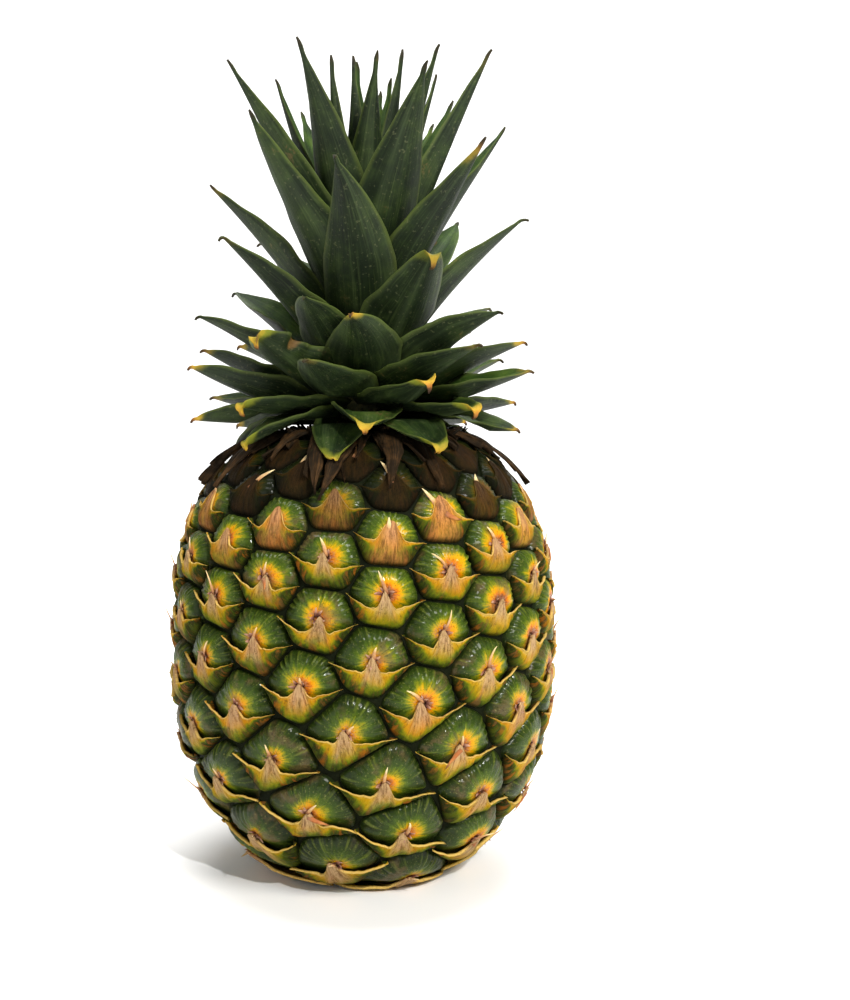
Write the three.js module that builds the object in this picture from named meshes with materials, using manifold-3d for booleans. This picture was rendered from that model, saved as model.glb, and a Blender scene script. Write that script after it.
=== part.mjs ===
// A fresh pineapple standing on its cut base, with its crown of leaves still on.
// Millimetres, +Z up. The origin is the centre of the flat base, and the side a viewer sees faces -Y.
// The fruit is an under-surface of revolution covered in raised eyes. The eyes lie on the spirals
// that a pineapple grows: each is about 137.4 degrees round from the one before and a little higher.
import * as THREE from "three";
import { ConvexHull } from "three/addons/math/ConvexHull.js";
import { mergeVertices } from "three/addons/utils/BufferGeometryUtils.js";
import Module from "manifold-3d";

// The fruit's under-surface, at the bottom of the grooves between the eyes.
const BARREL_RADIUS = 59.5;
const WAIST_HEIGHT = 70;
const LOWER_DEPTH = 73.8;
const LOWER_POWER = 2.4;
const LOWER_ROUNDING = 0.5;
const UPPER_DEPTH = 77;
const UPPER_POWER = 3;
const UPPER_ROUNDING = 0.42;
const FRUIT_TOP = 140;
const PROFILE_STEPS = 600;

// The eyes: how much skin each one covers, halfway up a length of skin, and how that changes to
// either end of it.
const EYE_AREA_LENGTH = 182;
const EYE_AREA = 350;
const EYE_AREA_SLOPE = -218;
const EYE_AREA_CURVE = 17;
const EYE_AREA_LEAST = 205;
const EYE_AREA_MOST = 520;
const EYES_BELOW_FRONT = 65.5;
const FIRST_EYE_ROOM = 3.4;
const LAST_EYE_ROOM = 5;
const FRONT_EYE_TURN = 2.5;
const EYE_TURN = 137.38;
const TURN_DRIFT = -10;
const TURN_DRIFT_CUBE = 3.5;
const DRIFT_EYES = 50;
const DRIFT_LIMIT = 1.1;

// The relief of one eye, as shares of its cell's radius and heights above the under-surface.
const RIM_REACH = 0.79;
const RIM_TOP_HEIGHT = 2.5;
const RIM_BOTTOM_HEIGHT = 1.9;
const DOME_REACH = 0.5;
const DOME_HEIGHT = 3.1;
const WING_REACH = 0.6;
const WING_HEIGHT = 3.5;
const LIP_REACH = 0.36;
const LIP_HEIGHT = 4.0;
const HOLLOW_RADIUS = 1.5;
const HOLLOW_HEIGHT = 2.4;
const SPINE_HEIGHT = 5.2;
const SPINE_LEAN = 1.4;
const SPINE_SIDES = 3;
const EYE_HEIGHT_SPREAD = 0.08;
const BASE_FADE = 10;
const SHOULDER_FADE = 44;
const SHOULDER_RELIEF = 0.25;

// The stalk that carried the fruit, cut level with the base, in the fruit's round scar.
const STALK_RADIUS = 9;
const STALK_LENGTH = 3;
const STALK_SIDES = 20;
const FIT_GAP = 0.3;

// The crown: a short tapered stem and its spiral of channelled leaves.
const CROWN_STEM = [[12, 140.3], [12, 143.8], [18, 148], [17.5, 158], [15, 172], [11, 184], [6, 192]];
const CROWN_STEM_TIP = 199;
const CROWN_STEM_SIDES = 12;
const LEAF_COUNT = 69;
const LEAF_TURN = 137.508;
const LEAF_FIRST_TURN = 340;
const LEAF_SEED = 3035;
const LEAF_SECTIONS = 5;
// Each list runs from the lowest leaf to the innermost one.
const LEAF_ROOT_HEIGHT = [145.4, 147.5, 153.7, 188.2, 190.1];
const LEAF_ROOT_RADIUS = [15, 14, 12, 9, 3];
const LEAF_LENGTH = [38, 45, 54, 81, 73];
const LEAF_WIDTH = [20, 23, 25, 25, 15];
const LEAF_TAPER = [0.65, 0.65, 0.7, 1, 1.05];
const LEAF_START_ELEVATION = [-18, 9.5, 49.6, 63.6, 85];
const LEAF_END_ELEVATION = [-20, 25.4, 23.6, 58, 90];
const LEAF_CHANNEL = 0.3;
const LEAF_THICKNESS = 1.6;
const LEAF_TIP_THICKNESS = 0.8;
const LEAF_TURN_SPREAD = 11.5;
const LEAF_LENGTH_SPREAD = 0.067;
const LEAF_ELEVATION_SPREAD = 4.5;
const LEAF_SWING_SPREAD = 25.4;
const LEAF_TWIST_SPREAD = 22;
// How far the lowest leaf stays above the tips of the spines on the shoulder, and how much more
// each next leaf does.
const LEAF_CLEAR_OF_SPINES = 2.6;
const LEAF_STACKING = 0.45;

// The dry brown leaflets at the foot of the crown, which lie down over the shoulder of the fruit.
const COLLAR_INNER_RADIUS = 12.5;
const COLLAR_OUTER_RADIUS = 16;
const COLLAR_BOTTOM = 140.3;
const COLLAR_TOP = 143.2;
const COLLAR_SIDES = 24;
const LEAFLET_COUNT = 18;
const LEAFLET_SEED = 5;
const LEAFLET_SECTIONS = 5;
// How far a leaflet reaches down the skin from the rim of the fruit's flat top.
const LEAFLET_SHORTEST = 8;
const LEAFLET_LONGEST = 28;
const LEAFLET_WIDTH = 11;
const LEAFLET_THICKNESS = 0.9;
// How far a leaflet lies above the tips of the spines below it, and how much more at its own tip.
const LEAFLET_CLEAR_OF_SPINES = 0.8;
const LEAFLET_RAISE = 0.4;
const LEAFLET_EDGE_DROP = 0.5;

const wasm = await Module();
wasm.setup();

// Draws a repeatable number from 0 to 1 for item i, with a key for what is drawn.
function draw(i, key) {
  const wave = Math.sin(i * 12.9898 + key * 78.233) * 43758.5453;
  return wave - Math.floor(wave);
}

// The same, from -1 to 1.
function spread(i, key) {
  return 2 * draw(i, key) - 1;
}

// The value at a share from 0 to 1 along a list of evenly spaced values.
function along(list, share) {
  const place = THREE.MathUtils.clamp(share, 0, 1) * (list.length - 1);
  const i = Math.min(Math.floor(place), list.length - 2);
  return THREE.MathUtils.lerp(list[i], list[i + 1], place - i);
}

function radiusAt(z) {
  if (z < WAIST_HEIGHT) {
    const depth = (WAIST_HEIGHT - z) / LOWER_DEPTH;
    return BARREL_RADIUS * (1 - depth ** LOWER_POWER) ** LOWER_ROUNDING;
  }
  const height = (z - WAIST_HEIGHT) / UPPER_DEPTH;
  return BARREL_RADIUS * (1 - height ** UPPER_POWER) ** UPPER_ROUNDING;
}

// Walks up the under-surface from the base. Each row holds the radius r, the height z, the distance s
// along the skin, the stretch m that keeps angles true when the skin is laid on a ball, and the
// outward normal.
function walkProfile() {
  const rows = [];
  let s = 0;
  let m = 0;
  for (let i = 0; i <= PROFILE_STEPS; i++) {
    const z = (FRUIT_TOP * i) / PROFILE_STEPS;
    const r = radiusAt(z);
    const last = rows[i - 1];
    if (last) {
      const step = Math.hypot(r - last.r, z - last.z);
      s += step;
      m += (2 * step) / (r + last.r);
      last.nr = (z - last.z) / step;
      last.nz = (last.r - r) / step;
    }
    rows.push({ r, z, s, m });
  }
  const end = rows[PROFILE_STEPS];
  end.nr = rows[PROFILE_STEPS - 1].nr;
  end.nz = rows[PROFILE_STEPS - 1].nz;
  return rows;
}

const profile = walkProfile();
const SKIN_LENGTH = profile[PROFILE_STEPS].s;

// The profile row at the place where one of its columns reaches a value.
function rowAt(column, value) {
  let low = 0;
  let high = profile.length - 1;
  while (high - low > 1) {
    const middle = (low + high) >> 1;
    if (profile[middle][column] > value) high = middle;
    else low = middle;
  }
  const a = profile[low];
  const b = profile[high];
  const share = THREE.MathUtils.clamp((value - a[column]) / (b[column] - a[column]), 0, 1);
  const mix = (name) => THREE.MathUtils.lerp(a[name], b[name], share);
  return { r: mix("r"), z: mix("z"), s: mix("s"), m: mix("m"), nr: mix("nr"), nz: mix("nz") };
}

// A point near the skin: turned by an angle from -Y towards +X, at a distance s up the skin and at a
// height above the under-surface.
function skinPoint(turn, s, height) {
  const row = rowAt("s", s);
  const r = row.r + height * row.nr;
  return new THREE.Vector3(r * Math.sin(turn), -r * Math.cos(turn), row.z + height * row.nz);
}

// The skin that one eye covers at a distance s up the skin: large near the base, small near the crown.
function eyeArea(s) {
  const u = (2 * s) / EYE_AREA_LENGTH - 1;
  const area = EYE_AREA + EYE_AREA_SLOPE * u + EYE_AREA_CURVE * u * u;
  return THREE.MathUtils.clamp(area, EYE_AREA_LEAST, EYE_AREA_MOST);
}

// The eyes' centres, from the lowest to the highest. Eye 0 is the one that faces the viewer.
function eyeCentres() {
  const eyes = [];
  let k = Math.ceil(FIRST_EYE_ROOM - EYES_BELOW_FRONT);
  let total = 0;
  const counts = profile.map((row, i) => {
    if (i > 0) {
      const last = profile[i - 1];
      total += (Math.PI * (row.r + last.r) * (row.s - last.s)) / eyeArea((row.s + last.s) / 2);
    }
    return total;
  });
  for (let i = 1; i < profile.length; i++) {
    while (k + EYES_BELOW_FRONT <= Math.min(counts[i], total - LAST_EYE_ROOM)) {
      const share = (k + EYES_BELOW_FRONT - counts[i - 1]) / (counts[i] - counts[i - 1]);
      const s = THREE.MathUtils.lerp(profile[i - 1].s, profile[i].s, share);
      const q = THREE.MathUtils.clamp(k / DRIFT_EYES, -DRIFT_LIMIT, DRIFT_LIMIT);
      const drift = TURN_DRIFT * q * q + TURN_DRIFT_CUBE * q * q * q;
      const turn = THREE.MathUtils.degToRad(FRONT_EYE_TURN + EYE_TURN * k + drift);
      eyes.push({ k, turn, s, row: rowAt("s", s) });
      k++;
    }
  }
  return eyes;
}

// The direction on a ball that an eye's centre is laid to, so that near neighbours stay near.
function ballDirection(turn, m) {
  const latitude = 2 * Math.atan(Math.tanh((m - profile[PROFILE_STEPS].m / 2) / 2));
  const r = Math.cos(latitude);
  return new THREE.Vector3(r * Math.sin(turn), -r * Math.cos(turn), Math.sin(latitude));
}

// The turn of b nearest to the turn a.
function nearTurn(a, b) {
  return b - 2 * Math.PI * Math.round((b - a) / (2 * Math.PI));
}

// Which three eyes meet at each corner, from the triangles of a hull round their directions on the
// ball. The base and the top count as two more cells, and their corners lie on their edges.
function cellCorners(eyes) {
  const sites = eyes.map((eye) => ballDirection(eye.turn, eye.row.m));
  sites.push(new THREE.Vector3(0, 0, -1), new THREE.Vector3(0, 0, 1));
  const base = eyes.length;
  const top = eyes.length + 1;
  const index = new Map(sites.map((site, i) => [site, i]));
  const hull = new ConvexHull().setFromPoints(sites);
  return hull.faces.map((face) => {
    const around = [face.edge.head(), face.edge.next.head(), face.edge.prev.head()];
    const cells = around.map((node) => index.get(node.point));
    const real = cells.filter((cell) => cell < base).map((cell) => eyes[cell]);
    const turns = real.map((eye) => nearTurn(real[0].turn, eye.turn));
    const turn = turns.reduce((sum, t) => sum + t, 0) / turns.length;
    let s = real.reduce((sum, eye) => sum + eye.s, 0) / real.length;
    if (cells.includes(base)) s = 0;
    if (cells.includes(top)) s = SKIN_LENGTH;
    return { cells, turn, s };
  });
}

// How much of the full relief stands at a distance s up the skin.
function reliefShare(s) {
  const base = Math.min(1, s / BASE_FADE);
  const fade = THREE.MathUtils.clamp((SKIN_LENGTH - s) / SHOULDER_FADE, 0, 1);
  return base * THREE.MathUtils.lerp(SHOULDER_RELIEF, 1, fade);
}

// The height that the tips of the tallest spines reach at a distance s up the skin.
function spineTips(s) {
  return SPINE_HEIGHT * (1 + EYE_HEIGHT_SPREAD) * reliefShare(s);
}

// The fruit's skin as one closed mesh. Every eye is a ring of groove corners, a raised rim, the dome
// above, the bract's two wings and its lip below, and a dry spine out of the hollow in the middle.
function buildSkin() {
  const eyes = eyeCentres();
  const corners = cellCorners(eyes);
  const points = [];
  const triangles = [];
  const add = (turn, s, height) => {
    points.push(skinPoint(turn, s, height * reliefShare(s)));
    return points.length - 1;
  };
  const cornerIds = corners.map((corner) => add(corner.turn, corner.s, 0));
  const middles = new Map();
  const middleOf = (a, b) => {
    const key = a < b ? a + "_" + b : b + "_" + a;
    if (!middles.has(key)) {
      const turn = (corners[a].turn + nearTurn(corners[a].turn, corners[b].turn)) / 2;
      const s = (corners[a].s + corners[b].s) / 2;
      middles.set(key, { id: add(turn, s, 0), turn, s });
    }
    return middles.get(key);
  };
  // The groove points round a cell, in order: its corners, with the middle of each side between.
  const outline = (cell, angleOf) => {
    const own = corners.map((corner, i) => i).filter((i) => corners[i].cells.includes(cell));
    own.sort((a, b) => angleOf(corners[a]) - angleOf(corners[b]));
    return own.flatMap((a, i) => [
      { id: cornerIds[a], turn: corners[a].turn, s: corners[a].s },
      middleOf(a, own[(i + 1) % own.length]),
    ]);
  };
  eyes.forEach((eye, cell) => {
    const right = (p) => (nearTurn(eye.turn, p.turn) - eye.turn) * eye.row.r;
    const ring = outline(cell, (p) => Math.atan2(p.s - eye.s, right(p)));
    const lively = 1 + EYE_HEIGHT_SPREAD * spread(eye.k, 5);
    const inner = (p, reach, height) => {
      const turn = eye.turn + (right(p) / eye.row.r) * reach;
      return add(turn, eye.s + (p.s - eye.s) * reach, height * lively);
    };
    const rim = ring.map((p) => {
      const up = (p.s - eye.s) / Math.hypot(p.s - eye.s, right(p));
      return inner(p, RIM_REACH, THREE.MathUtils.mapLinear(up, -1, 1, RIM_BOTTOM_HEIGHT, RIM_TOP_HEIGHT));
    });
    const crest = ring
      .filter((p, i) => i % 2 === 0)
      .map((p) => {
        const up = (p.s - eye.s) / Math.hypot(p.s - eye.s, right(p));
        if (up > 0.35) return inner(p, DOME_REACH, DOME_HEIGHT);
        if (up > -0.35) return inner(p, WING_REACH, WING_HEIGHT);
        return inner(p, LIP_REACH, LIP_HEIGHT);
      });
    const hollow = [];
    for (let i = 0; i < SPINE_SIDES; i++) {
      const a = (2 * Math.PI * (i + 0.75)) / SPINE_SIDES;
      const turn = eye.turn + (HOLLOW_RADIUS * Math.cos(a)) / eye.row.r;
      hollow.push({ a, id: add(turn, eye.s + HOLLOW_RADIUS * Math.sin(a), HOLLOW_HEIGHT) });
    }
    const tip = add(eye.turn, eye.s + SPINE_LEAN, SPINE_HEIGHT * lively);
    const n = ring.length;
    for (let i = 0; i < n; i++) {
      const j = (i + 1) % n;
      triangles.push([ring[i].id, ring[j].id, rim[i]], [ring[j].id, rim[j], rim[i]]);
    }
    const half = crest.length;
    for (let i = 0; i < half; i++) {
      const j = (i + 1) % half;
      triangles.push([rim[2 * i], rim[2 * i + 1], crest[i]]);
      triangles.push([rim[2 * i + 1], crest[j], crest[i]]);
      triangles.push([rim[2 * i + 1], rim[2 * j], crest[j]]);
    }
    const angles = ring.filter((p, i) => i % 2 === 0).map((p) => Math.atan2(p.s - eye.s, right(p)));
    zipRings(crest, angles, hollow.map((h) => h.id), hollow.map((h) => h.a), triangles);
    for (let i = 0; i < SPINE_SIDES; i++) {
      triangles.push([hollow[i].id, hollow[(i + 1) % SPINE_SIDES].id, tip]);
    }
  });
  const caps = [
    [eyes.length, 0, -1],
    [eyes.length + 1, FRUIT_TOP, 1],
  ];
  for (const [cell, z, side] of caps) {
    const ring = outline(cell, (p) => nearTurn(0, p.turn));
    points.push(new THREE.Vector3(0, 0, z));
    const centre = points.length - 1;
    ring.forEach((p, i) => {
      const next = ring[(i + 1) % ring.length].id;
      triangles.push(side > 0 ? [centre, p.id, next] : [centre, next, p.id]);
    });
  }
  return meshGeometry(points, triangles);
}

// Fills the band between an outer and an inner ring of vertices, both in turning order, always with
// the step that keeps the two rings' angles together.
function zipRings(outer, outerAngles, inner, innerAngles, triangles) {
  const full = 2 * Math.PI;
  const start = outerAngles[0];
  const unwrap = (angles) => angles.map((a) => a - full * Math.floor((a - start) / full));
  const order = unwrap(innerAngles).map((a, i) => ({ a, id: inner[i] })).sort((p, q) => p.a - q.a);
  const outerTurn = [...unwrap(outerAngles), start + full];
  let i = 0;
  let j = 0;
  const n = outer.length;
  const m = order.length;
  while (i < n || j < m) {
    const nextOuter = i < n ? outerTurn[i + 1] : Infinity;
    const nextInner = j < m ? order[j].a + full / m / 2 : Infinity;
    const innerId = order[j % m].id;
    if (nextOuter <= nextInner) {
      triangles.push([outer[i], outer[(i + 1) % n], innerId]);
      i++;
    } else {
      triangles.push([outer[i % n], order[(j + 1) % m].id, innerId]);
      j++;
    }
  }
}

function meshGeometry(points, triangles) {
  const positions = new Float32Array(points.flatMap((p) => [p.x, p.y, p.z]));
  const geometry = new THREE.BufferGeometry();
  geometry.setAttribute("position", new THREE.BufferAttribute(positions, 3));
  geometry.setIndex(triangles.flat());
  return geometry;
}

// A closed geometry as a solid that can be joined and cut.
function toSolid(geometry) {
  const bare = geometry.clone();
  bare.deleteAttribute("normal");
  bare.deleteAttribute("uv");
  const merged = mergeVertices(bare);
  const mesh = new wasm.Mesh({
    numProp: 3,
    vertProperties: merged.attributes.position.array,
    triVerts: new Uint32Array(merged.index.array),
  });
  return new wasm.Manifold(mesh);
}

// A solid as a geometry. Only its largest closed surface is kept, so hollows that joining sealed are
// filled and loose scraps are dropped.
function toGeometry(solid) {
  const bodies = solid.decompose().sort((a, b) => b.volume() - a.volume());
  const mesh = bodies[0].getMesh();
  const geometry = new THREE.BufferGeometry();
  geometry.setAttribute("position", new THREE.BufferAttribute(mesh.vertProperties, 3));
  geometry.setIndex(new THREE.BufferAttribute(mesh.triVerts, 1));
  return geometry;
}

// A ring or a pin about the Z axis, from a closed outline of radius and height pairs.
function turned(outline, sides) {
  const lathe = new THREE.LatheGeometry(outline.map(([r, z]) => new THREE.Vector2(r, z)), sides);
  return lathe.rotateX(Math.PI / 2);
}

// The fruit, with the round scar in its base that the stalk stands in.
function fruitGeometry() {
  const scarRadius = STALK_RADIUS + FIT_GAP;
  const scarDepth = STALK_LENGTH + FIT_GAP;
  const scar = turned([[0, -1], [scarRadius, -1], [scarRadius, scarDepth], [0, scarDepth]], STALK_SIDES);
  return toGeometry(toSolid(buildSkin()).subtract(toSolid(scar)));
}

function stalkGeometry() {
  const outline = [[0, 0], [STALK_RADIUS, 0], [STALK_RADIUS, STALK_LENGTH], [0, STALK_LENGTH]];
  return turned(outline, STALK_SIDES);
}

// Moves a point of a crown leaf out from the fruit until it clears the dry leaflets on the shoulder
// by a margin.
function liftClear(point, margin) {
  const r = Math.hypot(point.x, point.y);
  const top = profile[PROFILE_STEPS];
  if (r <= top.r) {
    point.z = Math.max(point.z, FRUIT_TOP + spineTips(SKIN_LENGTH) + LEAF_CLEAR_OF_SPINES + margin);
    return point;
  }
  let best = top;
  let least = Infinity;
  for (const row of profile) {
    const far = Math.hypot(r - row.r, point.z - row.z);
    if (far < least) {
      least = far;
      best = row;
    }
  }
  const clear = spineTips(best.s) + LEAF_CLEAR_OF_SPINES + margin;
  const outside = (r - best.r) * best.nr + (point.z - best.z) * best.nz;
  if (outside >= clear) return point;
  const out = (r + (clear - outside) * best.nr) / r;
  point.x *= out;
  point.y *= out;
  point.z += (clear - outside) * best.nz;
  return point;
}

// The width of a leaf at a share t of its length, as a share of its full width: a narrower root, an
// even middle and a point, which is rounded on the low leaves and long on the inner ones.
function leafOutline(t, taper) {
  return (1 - t) ** taper * (0.8 + 1.15 * Math.min(t, 0.45) + 0.45 * t);
}

// A blade from a list of sections of four points: the left edge, the middle of the upper face, the
// right edge and the middle of the lower face. Both faces are split into triangles alike.
function bladeGeometry(sections) {
  const triangles = [];
  const last = sections.length - 1;
  for (let i = 0; i < last; i++) {
    for (let j = 0; j < 4; j++) {
      const a = 4 * i + j;
      const b = 4 * i + ((j + 1) % 4);
      if (j < 2) triangles.push([a, b + 4, b], [a, a + 4, b + 4]);
      else triangles.push([a, a + 4, b], [b, a + 4, b + 4]);
    }
  }
  const end = 4 * last;
  triangles.push([0, 1, 3], [1, 2, 3], [end, end + 3, end + 1], [end + 1, end + 3, end + 2]);
  return meshGeometry(sections.flat(), triangles);
}

// One crown leaf. Its midline leaves the stem at one elevation and bends towards another, swings a
// little round the axis and twists, and its blade is a shallow channel that opens upwards.
function crownLeaf(i) {
  const age = i / (LEAF_COUNT - 1);
  const turn = LEAF_FIRST_TURN + LEAF_TURN * i + LEAF_TURN_SPREAD * spread(i, LEAF_SEED);
  const length = along(LEAF_LENGTH, age) * (1 + LEAF_LENGTH_SPREAD * spread(i, LEAF_SEED + 1));
  const lean = LEAF_ELEVATION_SPREAD * spread(i, LEAF_SEED + 2);
  const swing = LEAF_SWING_SPREAD * spread(i, LEAF_SEED + 3);
  const twist = LEAF_TWIST_SPREAD * spread(i, LEAF_SEED + 4);
  const halfWidth = along(LEAF_WIDTH, age) / 2;
  const start = along(LEAF_START_ELEVATION, age) + lean / 3;
  const end = along(LEAF_END_ELEVATION, age) + lean;
  const rad = THREE.MathUtils.degToRad;
  const midline = new THREE.Vector3();
  const heading = rad(turn);
  midline.set(Math.sin(heading), -Math.cos(heading), 0).multiplyScalar(along(LEAF_ROOT_RADIUS, age));
  midline.z = along(LEAF_ROOT_HEIGHT, age);
  const sections = [];
  const step = 1 / (LEAF_SECTIONS - 1);
  for (let n = 0; n < LEAF_SECTIONS; n++) {
    const t = n * step;
    const bearing = rad(turn + swing * t * t);
    const elevation = rad(start + (end - start) * t);
    const out = new THREE.Vector3(Math.sin(bearing), -Math.cos(bearing), 0);
    const forward = out.clone().multiplyScalar(Math.cos(elevation)).setZ(Math.sin(elevation));
    const across = new THREE.Vector3(Math.cos(bearing), Math.sin(bearing), 0);
    across.applyAxisAngle(forward, rad(twist * t));
    const upper = new THREE.Vector3().crossVectors(forward, across);
    const half = Math.max(halfWidth * leafOutline(t, along(LEAF_TAPER, age)), 0.5);
    const rise = half * 2 * LEAF_CHANNEL * (1 - 0.4 * t);
    const thick = THREE.MathUtils.lerp(LEAF_THICKNESS, LEAF_TIP_THICKNESS, t);
    const at = (side, lift, margin) => {
      const p = midline.clone().addScaledVector(across, side * half).addScaledVector(upper, lift);
      return liftClear(p, margin + LEAF_STACKING * i);
    };
    sections.push([at(-1, rise, thick / 2), at(0, 0, thick), at(1, rise, thick / 2), at(0, -thick, 0)]);
    const middle = rad(start + (end - start) * (t + step / 2));
    const drift = rad(turn + swing * (t + step / 2) ** 2);
    midline.x += Math.cos(middle) * Math.sin(drift) * length * step;
    midline.y -= Math.cos(middle) * Math.cos(drift) * length * step;
    midline.z += Math.sin(middle) * length * step;
  }
  return bladeGeometry(sections);
}

function crownGeometry() {
  const outline = [[0, CROWN_STEM[0][1]], ...CROWN_STEM, [0, CROWN_STEM_TIP]];
  const solids = [toSolid(turned(outline, CROWN_STEM_SIDES))];
  for (let i = 0; i < LEAF_COUNT; i++) solids.push(toSolid(crownLeaf(i)));
  return toGeometry(wasm.Manifold.union(solids));
}

// One dry leaflet. It crosses the fruit's flat top from the ring to the rim and lies down over the
// shoulder, in the fruit's own skin coordinates.
function collarLeaflet(i) {
  const turn = (2 * Math.PI * (i + 0.35 * spread(i, LEAFLET_SEED))) / LEAFLET_COUNT;
  const reach = THREE.MathUtils.lerp(LEAFLET_SHORTEST, LEAFLET_LONGEST, draw(i, LEAFLET_SEED + 1));
  const swing = 0.16 * spread(i, LEAFLET_SEED + 2);
  const raise = LEAFLET_RAISE * draw(i, LEAFLET_SEED + 3);
  const rootRadius = (COLLAR_INNER_RADIUS + COLLAR_OUTER_RADIUS) / 2;
  const flat = profile[PROFILE_STEPS].r - rootRadius;
  const sections = [];
  for (let n = 0; n < LEAFLET_SECTIONS; n++) {
    const down = (reach * Math.max(0, n - 1)) / (LEAFLET_SECTIONS - 2);
    const t = n > 0 ? (flat + down) / (flat + reach) : 0;
    const s = SKIN_LENGTH - down;
    const row = rowAt("s", s);
    const bearing = turn + swing * t * t;
    const half = Math.max((LEAFLET_WIDTH / 2) * (1 - t ** 1.7), 0.6);
    const lift = spineTips(s) + LEAFLET_CLEAR_OF_SPINES + raise * t;
    const at = (side, height) => {
      if (n > 0) return skinPoint(bearing + (side * half) / row.r, s, height);
      const a = bearing + (side * 0.8 * half) / rootRadius;
      return new THREE.Vector3(rootRadius * Math.sin(a), -rootRadius * Math.cos(a), FRUIT_TOP + height);
    };
    const edge = lift + LEAFLET_THICKNESS / 2 - LEAFLET_EDGE_DROP * Math.min(1, 4 * t);
    sections.push([at(-1, edge), at(0, lift + LEAFLET_THICKNESS), at(1, edge), at(0, lift)]);
  }
  return bladeGeometry(sections);
}

function collarGeometry() {
  const outline = [
    [COLLAR_INNER_RADIUS, COLLAR_BOTTOM],
    [COLLAR_OUTER_RADIUS, COLLAR_BOTTOM],
    [COLLAR_OUTER_RADIUS, COLLAR_TOP],
    [COLLAR_INNER_RADIUS, COLLAR_TOP],
    [COLLAR_INNER_RADIUS, COLLAR_BOTTOM],
  ];
  const solids = [toSolid(turned(outline, COLLAR_SIDES))];
  for (let i = 0; i < LEAFLET_COUNT; i++) solids.push(toSolid(collarLeaflet(i)));
  return toGeometry(wasm.Manifold.union(solids));
}

function skinMaterial() {
  return new THREE.MeshStandardMaterial({ color: 0x94802c, roughness: 0.45, metalness: 0 });
}

function leafMaterial() {
  return new THREE.MeshStandardMaterial({ color: 0x4a6336, roughness: 0.5, metalness: 0 });
}

function dryLeafMaterial() {
  return new THREE.MeshStandardMaterial({ color: 0x7a5a34, roughness: 0.8, metalness: 0 });
}

function cutStalkMaterial() {
  return new THREE.MeshStandardMaterial({ color: 0xb8996a, roughness: 0.9, metalness: 0 });
}

function namedMesh(name, geometry, material) {
  const mesh = new THREE.Mesh(geometry, material);
  mesh.name = name;
  return mesh;
}

const pineapple = new THREE.Group();
pineapple.add(namedMesh("fruit", fruitGeometry(), skinMaterial()));
pineapple.add(namedMesh("stalk", stalkGeometry(), cutStalkMaterial()));
pineapple.add(namedMesh("collar", collarGeometry(), dryLeafMaterial()));
pineapple.add(namedMesh("crown", crownGeometry(), leafMaterial()));

export default pineapple;
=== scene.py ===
# %% [markdown]
# # A fresh pineapple, dressed round its CAD model
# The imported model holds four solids: the fruit, the cut end of its stalk, the dry collar on its
# shoulder and the crown. This script keeps their sizes and places and gives each one the skin,
# leaves and fibres that an eye sees. Lengths are written in millimetres, the way a fruit is
# measured, and are turned into Blender's metres where a mesh is made.

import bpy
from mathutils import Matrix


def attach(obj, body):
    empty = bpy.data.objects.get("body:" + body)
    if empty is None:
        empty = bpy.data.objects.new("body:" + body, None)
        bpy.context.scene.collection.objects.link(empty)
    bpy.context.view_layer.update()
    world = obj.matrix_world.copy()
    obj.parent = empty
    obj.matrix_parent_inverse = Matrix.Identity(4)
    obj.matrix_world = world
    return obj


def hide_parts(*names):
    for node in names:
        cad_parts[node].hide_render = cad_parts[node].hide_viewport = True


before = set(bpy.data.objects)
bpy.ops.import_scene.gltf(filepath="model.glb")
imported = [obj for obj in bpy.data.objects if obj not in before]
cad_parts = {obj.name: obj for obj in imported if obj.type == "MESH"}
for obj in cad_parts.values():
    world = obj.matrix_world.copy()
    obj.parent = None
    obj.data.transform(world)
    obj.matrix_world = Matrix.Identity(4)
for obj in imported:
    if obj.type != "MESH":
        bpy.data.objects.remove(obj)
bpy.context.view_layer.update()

# %% Libraries and the unit
import math

import bpy
import numpy as np
from mathutils import Vector

MM = 0.001

# %% [markdown]
# ## Repeatable chance
# No two eyes or leaves of a fruit are alike. A random generator would give a new fruit on each run,
# so every chance value is worked out from the number of the eye or leaf and a key for what is
# drawn. The crown uses the same rule as the CAD model, so its leaves land in the same places.

# %% Chance, values along a list, and three values for each point
def draw(item, key):
    """A repeatable number from 0 to 1 for each item."""
    wave = np.sin(np.asarray(item, float) * 12.9898 + key * 78.233) * 43758.5453
    return wave - np.floor(wave)


def spread(item, key):
    """The same, from -1 to 1."""
    return 2 * draw(item, key) - 1


def along(values, share):
    """The value at a share from 0 to 1 along a list of evenly spaced values."""
    return np.interp(share, np.linspace(0, 1, len(values)), values)


def ease(value, low, high):
    """0 below low, 1 above high and a smooth rise between them."""
    x = np.clip((value - low) / (high - low), 0, 1)
    return x * x * (3 - 2 * x)


def triple(*parts):
    """Three values for each point of a grid, from parts that only span some of its directions."""
    return np.stack(np.broadcast_arrays(*parts), axis=-1)


def round_axis(turn, r, z):
    """Points at a turn from -Y towards +X, a distance from the axis and a height."""
    return triple(r * np.sin(turn), -r * np.cos(turn), z)


# %% [markdown]
# ## The under-surface of the fruit
# Under its eyes the fruit is a barrel of revolution. A lathe or a spun curve would make it, but the
# eyes have to be laid on it, so it is kept as a formula: a height and a radius, and the distance up
# the skin. Any point near the skin is then a turn round the axis, a distance up the skin, and a
# height above it.

# %% The barrel's profile
BARREL_RADIUS = 59.5
WAIST_HEIGHT = 70
LOWER_DEPTH, LOWER_POWER, LOWER_ROUNDING = 73.8, 2.4, 0.5
UPPER_DEPTH, UPPER_POWER, UPPER_ROUNDING = 77, 3, 0.42
FRUIT_TOP = 140

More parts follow.
